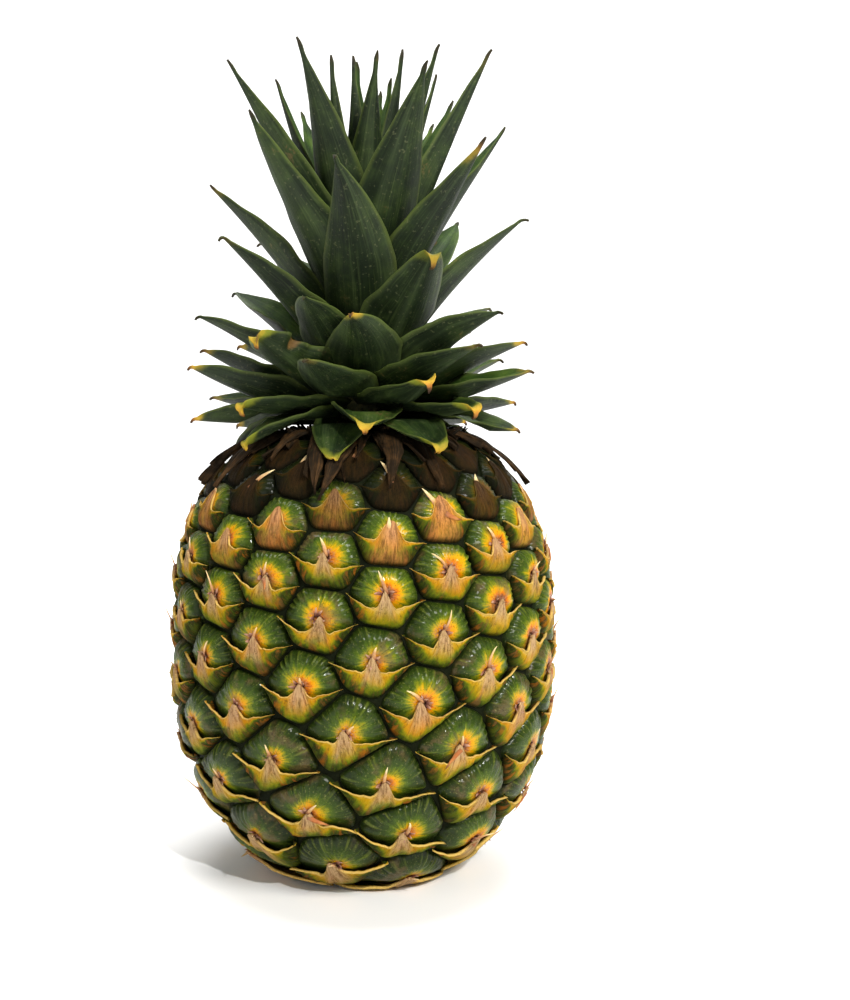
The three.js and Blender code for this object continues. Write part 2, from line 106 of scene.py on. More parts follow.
skin_z = np.linspace(0, FRUIT_TOP, 601)
below = 1 - (np.maximum(WAIST_HEIGHT - skin_z, 0) / LOWER_DEPTH) ** LOWER_POWER
above = 1 - (np.maximum(skin_z - WAIST_HEIGHT, 0) / UPPER_DEPTH) ** UPPER_POWER
skin_r = BARREL_RADIUS * below ** LOWER_ROUNDING * above ** UPPER_ROUNDING
steps = np.hypot(np.diff(skin_r), np.diff(skin_z))
skin_s = np.append(0, np.cumsum(steps))
normal_r = np.append(np.diff(skin_z) / steps, np.diff(skin_z)[-1] / steps[-1])
normal_z = -np.append(np.diff(skin_r) / steps, np.diff(skin_r)[-1] / steps[-1])
SKIN_LENGTH = skin_s[-1]
print(f"The skin is {SKIN_LENGTH:.1f} mm long from base to crown")


def skin_point(turn, s, height):
    """Points at a turn from -Y towards +X, a distance up the skin and a height above it."""
    r = np.interp(s, skin_s, skin_r) + height * np.interp(s, skin_s, normal_r)
    z = np.interp(s, skin_s, skin_z) + height * np.interp(s, skin_s, normal_z)
    return round_axis(turn, r, np.maximum(z, 0))


# %% [markdown]
# ## Where the eyes grow
# Each eye is one small fruit of the flower head. A new one grew about 137.4 degrees round from the
# last and a little higher, which sets the eyes in 8, 13 and 21 spirals. Copying eyes in rows would
# show at once, so their centres follow that rule: the count of eyes up to a height comes from the
# skin that one eye covers there, more near the base and less near the crown.

# %% The eyes' centres
EYES_BELOW_FRONT = 65.5
EYE_TURN, FRONT_EYE_TURN = 137.38, 2.5
FIRST_EYE_ROOM, LAST_EYE_ROOM = 3.4, 5
TURN_DRIFT, TURN_DRIFT_CUBE, DRIFT_EYES, DRIFT_LIMIT = -10, 3.5, 50, 1.1
RULE_LENGTH = 182
EYE_AREA, EYE_AREA_SLOPE, EYE_AREA_BEND = 350, -218, 17
SMALLEST_EYE_AREA, LARGEST_EYE_AREA = 205, 520

middle = (skin_s[1:] + skin_s[:-1]) / 2
climb = 2 * middle / RULE_LENGTH - 1
eye_area = EYE_AREA + EYE_AREA_SLOPE * climb + EYE_AREA_BEND * climb * climb
eye_area = np.clip(eye_area, SMALLEST_EYE_AREA, LARGEST_EYE_AREA)
band_area = math.pi * (skin_r[1:] + skin_r[:-1]) * np.diff(skin_s)
eyes_below = np.append(0, np.cumsum(band_area / eye_area))
first_eye = math.ceil(FIRST_EYE_ROOM - EYES_BELOW_FRONT)
last_eye = math.floor(eyes_below[-1] - LAST_EYE_ROOM - EYES_BELOW_FRONT)
eye = np.arange(first_eye, last_eye + 1)
eye_s = np.interp(eye + EYES_BELOW_FRONT, eyes_below, skin_s)
drift = np.clip(eye / DRIFT_EYES, -DRIFT_LIMIT, DRIFT_LIMIT)
eye_turn = np.radians(FRONT_EYE_TURN + EYE_TURN * eye + TURN_DRIFT * drift**2 + TURN_DRIFT_CUBE * drift**3)
print(f"{len(eye)} eyes")

# %% [markdown]
# ## The cell of each eye
# Eyes press on each other while they grow, so each fills the skin that is nearer to it than to its
# neighbours: a rounded hexagon. A cell texture shows such cells but gives no edges to build on.
# Here the reach of a cell in any direction is half-way to the neighbours, and adding the reaches as
# high inverse powers rounds the corners.

# %% How far a cell reaches in each direction
CORNER_POWER = 11
COMPASS = np.radians(np.arange(0, 360, 2))
FAR, TINY = 1e3, 1e-3

radius_here = np.interp(eye_s, skin_s, skin_r)
gap = eye_turn[None, :] - eye_turn[:, None]
gap = gap - 2 * math.pi * np.round(gap / (2 * math.pi))
across = gap * (radius_here[None, :] + radius_here[:, None]) / 2
up = eye_s[None, :] - eye_s[:, None]
apart = across**2 + up**2
facing = across[..., None] * np.cos(COMPASS) + up[..., None] * np.sin(COMPASS)
in_front = (apart[..., None] > 0) & (facing > TINY)
half_way = np.where(in_front, apart[..., None] / np.maximum(2 * facing, TINY), FAR)
sines = np.sin(COMPASS)[None, :]
to_base = np.where(sines < 0, eye_s[:, None] / np.maximum(-sines, TINY), FAR)
to_top = np.where(sines > 0, (SKIN_LENGTH - eye_s[:, None]) / np.maximum(sines, TINY), FAR)
limits = np.concatenate([half_way, to_base[:, None], to_top[:, None]], axis=1)
reach_table = (np.minimum(limits, FAR) ** -float(CORNER_POWER)).sum(axis=1) ** (-1 / CORNER_POWER)
cell_size = reach_table.mean(axis=1)
print(f"Cells reach {cell_size.min():.1f} to {cell_size.max():.1f} mm from their centres")


def reach(angle):
    """How far each cell reaches at its own row of angles, between the compass points of the table."""
    place = (np.asarray(angle) % (2 * math.pi)) / (COMPASS[1] - COMPASS[0])
    low = np.floor(place).astype(int) % len(COMPASS)
    high = (low + 1) % len(COMPASS)
    rows = np.arange(len(eye))[:, None]
    first, second = reach_table[rows, low], reach_table[rows, high]
    return first + (second - first) * (place - np.floor(place))


# %% The relief on the skin
BASE_FADE, SHOULDER_FADE, SHOULDER_RELIEF = 10, 44, 0.25
SPINE_HEIGHT, EYE_HEIGHT_SPREAD = 5.2, 0.08


def relief(s):
    """How much of the full relief stands at a distance up the skin: less at the base and shoulder."""
    below_shoulder = np.clip((SKIN_LENGTH - s) / SHOULDER_FADE, 0, 1)
    share = SHOULDER_RELIEF + (1 - SHOULDER_RELIEF) * below_shoulder
    return np.clip(s / BASE_FADE, 0, 1) * share


def spine_tips(s):
    """The height that the CAD model's tallest dry spines reach at a distance up the skin."""
    return SPINE_HEIGHT * (1 + EYE_HEIGHT_SPREAD) * relief(s)


def eye_point(u, v, height):
    """Points of each eye from its own flat map: u to the right, v up, and a height, all in mm."""
    shape = (len(eye),) + (1,) * (u.ndim - 1)
    s = np.clip(eye_s.reshape(shape) + v, 0, SKIN_LENGTH)
    turn = eye_turn.reshape(shape) + u / np.interp(s, skin_s, skin_r)
    return skin_point(turn, s, height * relief(s))


# %% [markdown]
# ## From grids of points to pieces
# Every piece here is a grid of points bent into shape, or many of them. Writing the points and faces
# straight into a mesh is quick and exact. Each piece is a closed shell, and the marks stored with
# its points, such as how far a point is from the centre of its eye, steer the colours later.

# %% Pieces from points and faces
def closed_grids(upper, lower):
    """Closes each pair of matching point grids into a thin shell. Returns the points and the quads."""
    items, rows, columns, _ = upper.shape
    size = rows * columns
    points = np.concatenate([upper.reshape(items, size, 3), lower.reshape(items, size, 3)], axis=1)
    index = np.arange(size).reshape(rows, columns)
    a, b, c, d = index[:-1, :-1], index[:-1, 1:], index[1:, 1:], index[1:, :-1]
    top = np.stack([a, b, c, d], axis=-1).reshape(-1, 4)
    rim = np.concatenate([index[0, :-1], index[:-1, -1], index[-1, :0:-1], index[:0:-1, 0]])
    following = np.roll(rim, -1)
    side = np.stack([following, rim, rim + size, following + size], axis=-1)
    quads = np.concatenate([top, top[:, ::-1] + size, side])
    starts = 2 * size * np.arange(items)
    return points.reshape(-1, 3), (quads[None] + starts[:, None, None]).reshape(-1, 4)


def lathe_faces(rings, sides):
    """The quads of a wall of rings, and the caps on its first and last ring."""
    index = np.arange(rings * sides).reshape(rings, sides)
    beside = np.roll(index, -1, axis=1)
    quads = np.stack([index[:-1], beside[:-1], beside[1:], index[1:]], axis=-1).reshape(-1, 4)
    return quads, np.stack([index[0][::-1], index[-1]])


def facing_out(points, faces):
    """The faces, turned round if together they hold a negative volume."""
    corner = points[faces[:, 0]]
    volume = 0.0
    for n in range(1, faces.shape[1] - 1):
        cross = np.cross(points[faces[:, n]], points[faces[:, n + 1]])
        volume += (corner * cross).sum()
    return faces if volume > 0 else faces[:, ::-1]


def both_sides(value_grid):
    """A mark for the points of closed_grids, the same above and below."""
    flat = value_grid.reshape((value_grid.shape[0], -1) + value_grid.shape[3:])
    return np.concatenate([flat, flat], axis=1).reshape((-1,) + value_grid.shape[3:])


def make_piece(name, points, faces, marks, finish):
    """A smooth mesh object from points in mm, lists of equal faces, and marks for the points."""
    mesh = bpy.data.meshes.new(name)
    corners = np.concatenate([group.ravel() for group in faces])
    sizes = np.concatenate([np.full(len(group), group.shape[1]) for group in faces])
    mesh.vertices.add(len(points))
    mesh.vertices.foreach_set("co", (points * MM).astype(np.float32).ravel())
    mesh.loops.add(len(corners))
    mesh.loops.foreach_set("vertex_index", corners.astype(np.int32))
    mesh.polygons.add(len(sizes))
    mesh.polygons.foreach_set("loop_start", np.append(0, np.cumsum(sizes)[:-1]).astype(np.int32))
    mesh.update(calc_edges=True)
    for mark, values in marks.items():
        kind, field = ("FLOAT", "value") if values.ndim == 1 else ("FLOAT_VECTOR", "vector")
        layer = mesh.attributes.new(mark, kind, "POINT")
        layer.data.foreach_set(field, values.astype(np.float32).ravel())
    mesh.shade_smooth()
    mesh.materials.append(finish)
    piece = bpy.data.objects.new(name, mesh)
    bpy.context.scene.collection.objects.link(piece)
    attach(piece, "root")
    triangles = int((sizes - 2).sum())
    print(f"{name}: {len(points)} points, {triangles} triangles")
    return piece


# %% [markdown]
# ## Building finishes from nodes
# A finish could be painted on an image, but then it would have to be stored and unwrapped. Nodes
# work the colour out at each point from the marks and from noise, at any closeness. These short
# helpers add one node each, so a finish reads as a list of steps. Colours are named as they look on
# a screen, from 0 to 255, and turned into the linear values that Blender mixes.

# %% Node helpers
def screen(red, green, blue):
    """A colour as seen on a screen, as Blender's linear colour."""
    shares = [v / 255 for v in (red, green, blue)]
    return tuple(v / 12.92 if v <= 0.04045 else ((v + 0.055) / 1.055) ** 2.4 for v in shares) + (1,)


def put(tree, kind, inputs, out=0, **settings):
    """Adds a node, sets or links its inputs, and returns one of its outputs."""
    node = tree.nodes.new("ShaderNode" + kind)
    for setting, value in settings.items():
        setattr(node, setting, value)
    for socket, value in inputs.items():
        if isinstance(value, bpy.types.NodeSocket):
            tree.links.new(value, node.inputs[socket])
        else:
            node.inputs[socket].default_value = value
    return node.outputs[out]


def mark(tree, name, out="Fac"):
    return put(tree, "Attribute", {}, out=out, attribute_name=name)


def place_here(tree):
    return put(tree, "NewGeometry", {}, out="Position")


def calc(tree, operation, a, b=0.0):
    return put(tree, "Math", {0: a, 1: b}, operation=operation)


def plus(tree, a, b):
    return calc(tree, "ADD", a, b)


def times(tree, a, b):
    return calc(tree, "MULTIPLY", a, b)


def centred(tree, value, amount, middle=0.5):
    """A value moved to swing round zero instead of its middle, times an amount."""
    return times(tree, calc(tree, "SUBTRACT", value, middle), amount)


def noise(tree, place, scale, detail=3.0, roughness=0.55):
    inputs = {"Vector": place, "Scale": scale, "Detail": detail, "Roughness": roughness}
    return put(tree, "TexNoise", inputs)


def blend(tree, share, first, second, how="MIX"):
    return put(tree, "MixRGB", {"Fac": share, "Color1": first, "Color2": second}, blend_type=how)


def stain(tree, colour, share, most, second):
    """The colour with a second one over it, by a share times the most that it may cover."""
    return blend(tree, times(tree, share, most), colour, second)


def between(tree, value, low, high):
    """A smooth share from 0 at low to 1 at high."""
    limits = {"Value": value, "From Min": low, "From Max": high}
    return put(tree, "MapRange", limits, interpolation_type="SMOOTHSTEP")


def ramp(tree, value, stops):
    """Colours along a value, from a list of places and colours."""
    node = tree.nodes.new("ShaderNodeValToRGB")
    tree.links.new(value, node.inputs[0])
    elements = node.color_ramp.elements
    elements[0].position, elements[0].color = stops[0]
    elements[1].position, elements[1].color = stops[-1]
    for place, colour in stops[1:-1]:
        elements.new(place).color = colour
    return node.outputs["Color"]


def new_finish(name, **shader_values):
    """A material, its node tree and its shader, with the values that are the same all over."""
    material = bpy.data.materials.new(name)
    material.use_nodes = True
    shader = material.node_tree.nodes["Principled BSDF"]
    for socket, value in shader_values.items():
        shader.inputs[socket.replace("_", " ")].default_value = value
    return material, material.node_tree, shader


def wear(tree, shader, colour, roughness, height, depth):
    """Links a colour, a roughness and a bump of a depth in mm to the shader."""
    tree.links.new(colour, shader.inputs["Base Color"])
    tree.links.new(roughness, shader.inputs["Roughness"])
    bump = put(tree, "Bump", {"Strength": 1.0, "Distance": depth * MM, "Height": height})
    tree.links.new(bump, shader.inputs["Normal"])


# %% [markdown]
# ## The dark skin in the grooves
# Between the eyes the rind is dark green, painted almost black as the shade deep in the grooves.
# Underneath, round the stalk, it is dry and brown. It is one closed barrel with a flat base and a round
# scar for the stalk, made as a grid of turns and heights with slight wrinkles, and the eyes stand on it.

# %% Finish of the grooves
def groove_finish():
    material, tree, shader = new_finish("groove_rind", Specular_IOR_Level=0.05)
    grain = noise(tree, place_here(tree), 900.0)
    dryness = plus(tree, mark(tree, "dryness"), centred(tree, grain, 0.5))
    # The near-black green at the low end is partly painted shade: the rind's own dark green, deepened to
    # the darkness of the grooves.
    colour = ramp(tree, dryness, [
        (0.0, screen(17, 21, 8)),
        (0.45, screen(42, 40, 20)),
        (0.75, screen(106, 82, 48)),
        (1.0, screen(142, 112, 72)),
    ])
    wear(tree, shader, colour, plus(tree, 0.55, times(tree, grain, 0.3)), grain, 0.3)
    return material


# %% The barrel with its base and scar
STALK_RADIUS, STALK_LENGTH, FIT_GAP = 9, 3, 0.3
BARREL_TURNS, BARREL_ROWS = 144, 90

turns = np.linspace(0, 2 * math.pi, BARREL_TURNS, endpoint=False)
rows = np.linspace(0, SKIN_LENGTH, BARREL_ROWS)
wrinkle = 0.12 * np.sin(turns[None, :] * 31 + rows[:, None] * 0.4) * np.sin(rows[:, None] * 0.9 + 1)
wall = skin_point(turns[None, :], rows[:, None], wrinkle * relief(rows)[:, None] - 0.1)
scar_radius, scar_depth = STALK_RADIUS + FIT_GAP, STALK_LENGTH + FIT_GAP

base_rings = []
for n, r in enumerate(np.linspace(scar_radius, skin_r[0], 7)[:-1]):
    ripple = 0.12 * (1 + np.sin(turns * 23 + r)) * math.sin(math.pi * (n + 0.3) / 7)
    base_rings.append(round_axis(turns, r, ripple))
top_rings = [round_axis(turns, r, FRUIT_TOP) for r in (28, 20, 12, 6, 0.2)]
scar_rings = [round_axis(turns, r, scar_depth) for r in (0.2, scar_radius)]
rings = [*scar_rings, *base_rings, *wall, *top_rings]
barrel_points = np.concatenate(rings)
barrel_quads, barrel_caps = lathe_faces(len(rings), BARREL_TURNS)
flat = np.concatenate([np.ones(2 + len(base_rings)), 1 - ease(rows, 2, 16), np.zeros(5)])
dryness = np.repeat(np.maximum(flat, 0.0), BARREL_TURNS)
barrel_faces = [facing_out(barrel_points, barrel_quads), barrel_caps]
fruit_skin = make_piece("fruit_skin", barrel_points, barrel_faces, {"dryness": dryness}, groove_finish())
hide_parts("fruit")

# %% [markdown]
# ## The domes of the eyes
# The upper part of an eye is a hard, glossy green cushion. It bulges out of the grooves, carries a
# row of small radial knuckles along its upper rim, and tucks in under the bract below. A displaced
# sphere could not follow the odd outline of each cell, so each dome is a polar grid: rings of points
# from the centre to the cell's edge, closed below inside the fruit.

# %% Points of the domes
DOME_HEIGHT = 3.5
GROOVE_HALF = 0.42
RIBS_ROUND = 27
RIB_HEIGHT = 0.52
upper_arc = np.radians(np.linspace(-14, 194, 53))
lower_arc = np.radians(np.linspace(194, 346, 14))[1:-1]
dome_angles = np.concatenate([upper_arc, lower_arc])
dome_rings = np.array([0.08, 0.17, 0.28, 0.4, 0.52, 0.63, 0.72, 0.8, 0.87, 0.925, 0.965, 0.99, 1.0])

angle = dome_angles[None, :, None]
ring = dome_rings[None, None, :]
each = eye[:, None, None]
liveliness = 1 + EYE_HEIGHT_SPREAD * spread(each, 5)
rib_phase = RIBS_ROUND * angle + 6.28 * draw(each, 21) + 2.2 * np.sin(2 * angle + 6 * draw(each, 22))
rib_start = 0.55 + 0.12 * np.sin(4 * angle + 6 * draw(each, 26))
rib_place = ease(ring, rib_start, 0.84) * (1 - ease(ring, 0.955, 1.0)) * ease(np.sin(angle), -0.15, 0.25)
unevenness = np.sin(3.1 * angle + 6 * draw(each, 27)), np.sin(7.3 * angle + 6 * draw(each, 28))
rib_strength = 0.55 + 0.45 * unevenness[0] * unevenness[1]
rib = np.cos(rib_phase) * rib_place * rib_strength * (0.7 + 0.6 * draw(each, 23))
cell_reach = reach(np.broadcast_to(dome_angles, (len(eye), len(dome_angles))))[..., None] - GROOVE_HALF
dome_far = ring * cell_reach * (1 + 0.022 * rib)
dome_u, dome_v = dome_far * np.cos(angle), dome_far * np.sin(angle)
size = cell_size[:, None, None]
tuck = 0.5 + 0.5 * ease(dome_v / size, -0.5, 0.05)
swell = 1 + 0.1 * ease(dome_v / size, 0.0, 0.6)
lumps = 0.16 * np.sin(3 * angle + 6 * draw(each, 24)) + 0.12 * np.sin(5 * angle + 6 * draw(each, 25))
puckers = np.sin(dome_u * 1.7 + 6 * draw(each, 29)) * np.sin(dome_v * 2.1 + 6 * draw(each, 30))
puckers += 0.6 * np.sin(dome_u * 3.3 + dome_v * 2.4 + 6 * draw(each, 32))
hollow = 0.5 * np.exp(-((ring / 0.2) ** 2))
cushion = (1 - np.minimum(ring, 0.9999) ** 3.3) ** 0.58
fine_form = RIB_HEIGHT * rib + lumps * ring * cushion + 0.16 * puckers * (1 - ring**4)
dome_height = liveliness * (DOME_HEIGHT * cushion * tuck * swell + fine_form - hollow)
dome_height[..., -1] = -0.8

# %% Marks of the domes
def ripeness(turn, s):
    """How yellow the rind is, 0 to 1: more towards the crown and on the side towards +X."""
    side_yellowing = np.sin(turn - 0.25) * 0.17
    return np.clip(0.47 + side_yellowing + 0.12 * (s / RULE_LENGTH - 0.5), 0, 1)


eye_ripe = np.clip(ripeness(eye_turn, eye_s) + 0.14 * spread(eye, 31), 0, 1)
# Painted shade: this share darkens the eyes on the shoulder almost to black, as the shade that the crown's
# leaves cast on them.
eye_painted_shade = ease(eye_s, SKIN_LENGTH - 31, SKIN_LENGTH - 23)
dome_grid = eye_point(dome_u, dome_v, dome_height)
origin = np.zeros((len(eye), 1))
dome_centres = eye_point(origin, origin, liveliness[:, :, 0] * (DOME_HEIGHT - 0.6))
dome_floors = eye_point(origin, origin, origin - 1.6)
per_eye = dome_grid.shape[1] * dome_grid.shape[2]
dome_points = np.concatenate([dome_grid.reshape(len(eye), per_eye, 3), dome_centres, dome_floors], axis=1)
outward = triple(np.cos(angle) + 0 * ring, np.sin(angle), each * 0.37)


def with_centres(grid, centre):
    """A mark of the dome grid, with one value for the two centre points."""
    full = np.broadcast_to(grid, dome_far.shape + grid.shape[3:])
    flat = full.reshape((len(eye), per_eye) + grid.shape[3:])
    ends = np.broadcast_to(centre, (len(eye), 2) + grid.shape[3:])
    return np.concatenate([flat, ends], axis=1)


dome_marks = {
    "far": with_centres(dome_far / 10, 0.0),
    "rim": with_centres(ring, 0.0),
    "rib": with_centres(rib, 0.0),
    "ripe": with_centres(eye_ripe[:, None, None], eye_ripe[:, None]),
    "shade": with_centres(eye_painted_shade[:, None, None], eye_painted_shade[:, None]),
    "around": with_centres(outward, triple(0, 0, eye * 0.37)[:, None]),
}

index = np.arange(per_eye).reshape(dome_grid.shape[1:3])
beside = np.roll(index, -1, axis=0)
dome_quads = np.stack([index[:, :-1], index[:, 1:], beside[:, 1:], beside[:, :-1]], axis=-1).reshape(-1, 4)
dome_fan = np.stack([index[:, 0], beside[:, 0], np.full(len(index), per_eye)], axis=-1)
dome_floor = np.stack([beside[:, -1], index[:, -1], np.full(len(index), per_eye + 1)], axis=-1)
dome_caps = np.concatenate([dome_fan[:, ::-1], dome_floor[:, ::-1]])

# %% [markdown]
# ## The colours of a dome
# Round its dry centre a ripe eye glows orange and yellow, then turns through yellow-green to a deep bottle
# green at the rim. The change follows the distance from the centre, broken up by streaks that run outwards
# like the knuckles. One ramp along that distance, shifted by noise and by how ripe each eye is, gives every
# eye its own version of the same change. The ramp is also shifted so that the orange lies towards each
# eye's right, as painted light on the lit side, and the very edge of each dome and the eyes under the crown
# are darkened as painted shade.

# %% Finish of the domes
def dome_finish():
    material, tree, shader = new_finish(
        "dome_rind", Specular_IOR_Level=0.05, Coat_Weight=0.2, Coat_Roughness=0.1,
    )
    around = mark(tree, "around", "Vector")
    rim = mark(tree, "rim")
    position = place_here(tree)
    streaks = noise(tree, around, 6.0, 5.0, 0.7)
    blotches = noise(tree, position, 230.0, 4.0, 0.6)
    patches = noise(tree, position, 75.0, 2.0)
    specks = noise(tree, position, 1700.0, 3.0)
    shift = centred(tree, streaks, 0.62)
    blot = centred(tree, blotches, 0.55)
    ripe = centred(tree, mark(tree, "ripe"), -0.55, middle=0.42)
    value = plus(tree, plus(tree, mark(tree, "far"), shift), plus(tree, blot, ripe))
    # Painted light: the orange glow of every eye is moved towards the eye's own right, as the lit side of
    # its centre.
    painted_light_side = put(tree, "SeparateXYZ", {"Vector": around}, out="X")
    value = plus(tree, value, times(tree, painted_light_side, -0.1))
    colour = ramp(tree, value, [
        (0.0, screen(112, 62, 24)),
        (0.09, screen(190, 98, 8)),
        (0.20, screen(206, 136, 2)),
        (0.31, screen(182, 142, 6)),
        (0.42, screen(116, 118, 14)),
        (0.54, screen(64, 82, 14)),
        (0.70, screen(42, 58, 12)),
        (1.0, screen(29, 41, 10)),
    ])
    scurf = times(tree, between(tree, mark(tree, "far"), 0.36, 0.16), between(tree, specks, 0.44, 0.56))
    scurf_colour = blend(tree, blotches, screen(112, 70, 50), screen(172, 122, 92))
    colour = stain(tree, colour, scurf, 0.75, scurf_colour)
    lighter = times(tree, between(tree, streaks, 0.52, 0.7), between(tree, rim, 0.4, 0.7))
    colour = stain(tree, colour, lighter, 0.55, screen(94, 108, 30))
    corky = times(tree, between(tree, patches, 0.51, 0.62), between(tree, blotches, 0.4, 0.58))
    colour = stain(tree, colour, corky, 0.6, screen(92, 74, 48))
    colour = stain(tree, colour, between(tree, mark(tree, "rib"), 0.15, 0.7), 0.3, screen(112, 122, 40))
    colour = stain(tree, colour, between(tree, specks, 0.6, 0.7), 0.4, screen(126, 124, 66))
    colour = stain(tree, colour, between(tree, specks, 0.44, 0.34), 0.5, screen(26, 28, 12))
    # Painted shade: the outer edge of each dome, where it dips into the groove, is darkened almost to
    # black.
    colour = stain(tree, colour, between(tree, rim, 0.95, 1.0), 0.8, screen(22, 30, 10))
    # Painted shade: the domes of the eyes under the crown are darkened almost to black.
    colour = stain(tree, colour, mark(tree, "shade"), 0.93, screen(12, 15, 6))
    height = plus(tree, times(tree, streaks, 1.1), times(tree, specks, 0.5))
    roughness = plus(tree, 0.28, times(tree, blotches, 0.34))
    wear(tree, shader, colour, roughness, height, 0.3)
    return material


# %% Two pieces of domes, below and above the waist
dome_skin = dome_finish()


def piece_of_eyes(name, chosen, points, faces, marks, finish):
    """One piece out of the eyes chosen, from points, faces and marks that are kept for each eye."""
    count = points.shape[1]
    starts = count * np.arange(int(chosen.sum()))
    some = points[chosen].reshape(-1, 3)
    groups = []
    for group in faces:
        whole = (group[None] + starts[:, None, None]).reshape(-1, group.shape[1])
        groups.append(facing_out(some, whole))
    picked = {key: values[chosen].reshape((-1,) + values.shape[2:]) for key, values in marks.items()}
    piece = make_piece(name, some, groups, picked, finish)
    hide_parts("fruit")


lower_half = eye_s < np.interp(WAIST_HEIGHT, skin_z, skin_s)
for name, chosen in (("lower_eye_domes", lower_half), ("upper_eye_domes", ~lower_half)):
    piece_of_eyes(name, chosen, dome_points, [dome_quads, dome_caps], dome_marks, dome_skin)

# %% [markdown]
# ## The bracts
# Below its centre each eye is covered by a bract, the small leaf that the flower grew behind: a tan,
# fibrous bat-wing with a raised pale lip, two pointed wings that reach the cell's side corners, and a
# dry column in the middle that climbs to the centre of the eye. It stands clear of the dome, which
# puts a dark line above the lip. A bump on the dome could not cast that line, so a bract is a thin
# curved shell of its own.

# %% The lip, the wings and the lower edge
ACROSS, DOWN = 33, np.array([0, 0.03, 0.075, 0.15, 0.27, 0.41, 0.57, 0.74, 0.89, 1.0])
BRACT_THICKNESS = 0.75

share = np.linspace(-1, 1, ACROSS)[None, :]
wing = np.abs(share)
side_angles = np.radians(np.arange(-26, 28, 2))
one = np.ones((len(eye), 1))


def wing_tip(direction, key):
    """The angle and reach of each cell's corner that is nearest to level on one side."""
    angles = direction + side_angles[None, :] * one
    reaches = reach(angles)
    best = reaches.argmax(axis=1)[:, None]
    tip = np.take_along_axis(angles, best, axis=1)
    return tip, np.take_along_axis(reaches, best, axis=1) * (1.1 + 0.06 * spread(eye, key))[:, None]


right_angle, right_reach = wing_tip(0.0, 41)
left_angle, left_reach = wing_tip(-math.pi, 42)
tip_angle = np.where(share < 0, left_angle, right_angle)
tip_reach = np.where(share < 0, left_reach, right_reach)
tip_u, tip_v = tip_reach * np.abs(np.cos(tip_angle)), tip_reach * np.sin(tip_angle)
scale = cell_size[:, None]
sag = np.where(share < 0, 1 + 0.32 * spread(eye, 43)[:, None], 1 + 0.32 * spread(eye, 44)[:, None])
flag = ease(eye_s, SKIN_LENGTH - 43, SKIN_LENGTH - 34)[:, None] * (0.6 + 0.4 * draw(eye, 50)[:, None])
column = (0.10 + 0.55 * flag) * np.exp(-((wing / (0.1 + 0.26 * flag)) ** 2))
droop = -0.36 * (1 - np.exp(-((wing / (0.16 + 0.2 * flag)) ** 2))) + 0.33 * wing**1.5
ragged = 0.034 * np.sin(share * 17 + 6 * draw(eye, 45)[:, None])
ragged += 0.016 * np.sin(share * 41 + 6 * draw(eye, 46)[:, None])
lip_u = share * tip_u + 0.1 * scale * spread(eye, 58)[:, None] * np.exp(-((wing / 0.22) ** 2))
lip_v = scale * (column + droop * sag + ragged * (1 - wing)) + wing**3 * (tip_v + 0.03 * scale)
edge_angle = -math.pi / 2 + wing**0.8 * (tip_angle + math.pi / 2)
edge_reach = reach(edge_angle) * 0.985
edge_u, edge_v = edge_reach * np.cos(edge_angle), edge_reach * np.sin(edge_angle)

# %% The surface of a bract
down = DOWN[None, None, :]
aside, out_wing = share[..., None], wing[..., None]
bract_u = lip_u[..., None] + (edge_u - lip_u)[..., None] * down
bract_v = lip_v[..., None] + (edge_v - lip_v)[..., None] * down
lip_height = 4.15 - 0.45 * out_wing - 0.75 * out_wing**4
edge_height = 0.1 + 1.7 * out_wing**4
body = edge_height + (lip_height - edge_height) * (1 - np.minimum(down, 0.9999) ** 2.5) ** 0.62
rolled = 0.55 * np.exp(-((down / 0.05) ** 2)) * ease(out_wing, 0.08, 0.26)
ridge = 0.5 * np.exp(-((aside / 0.1) ** 2)) * (1 - down) ** 1.6
pleat_place = np.sin(math.pi * np.clip(down, 0.02, 0.98)) ** 0.7 * (1 - 0.5 * out_wing)
pleats = 0.26 * np.cos(aside * (22 + 9 * draw(each, 47)) + 6 * draw(each, 48))
pleats = pleats + 0.15 * np.cos(aside * 43 + 6 * draw(each, 49) + 2 * down)
bract_height = liveliness * (body + rolled + ridge + pleats * pleat_place)
thickness = (BRACT_THICKNESS * (1 - down) ** 0.4 + 0.1) * (1 - 0.45 * out_wing**2)
upper = eye_point(bract_u, bract_v, bract_height)
under = eye_point(bract_u, bract_v, bract_height - thickness)

flat_points, bract_quads = closed_grids(upper, under)
bract_points = flat_points.reshape(len(eye), -1, 3)
bract_faces = bract_quads[: len(bract_quads) // len(eye)]


def bract_mark(values):
    return both_sides(np.broadcast_to(values, bract_u.shape)).reshape(len(eye), -1)


fibre_place = triple(aside, down * 0.12, each * 0.61)
bract_marks = {
    "across": bract_mark(aside),
    "down": bract_mark(down),
    "ripe": bract_mark(eye_ripe[:, None, None]),
    "flag": bract_mark(flag[..., None]),
    "shade": bract_mark(eye_painted_shade[:, None, None]),
    "tone": bract_mark(draw(eye, 33)[:, None, None]),
    "fibre": both_sides(fibre_place).reshape(len(eye), -1, 3),
}
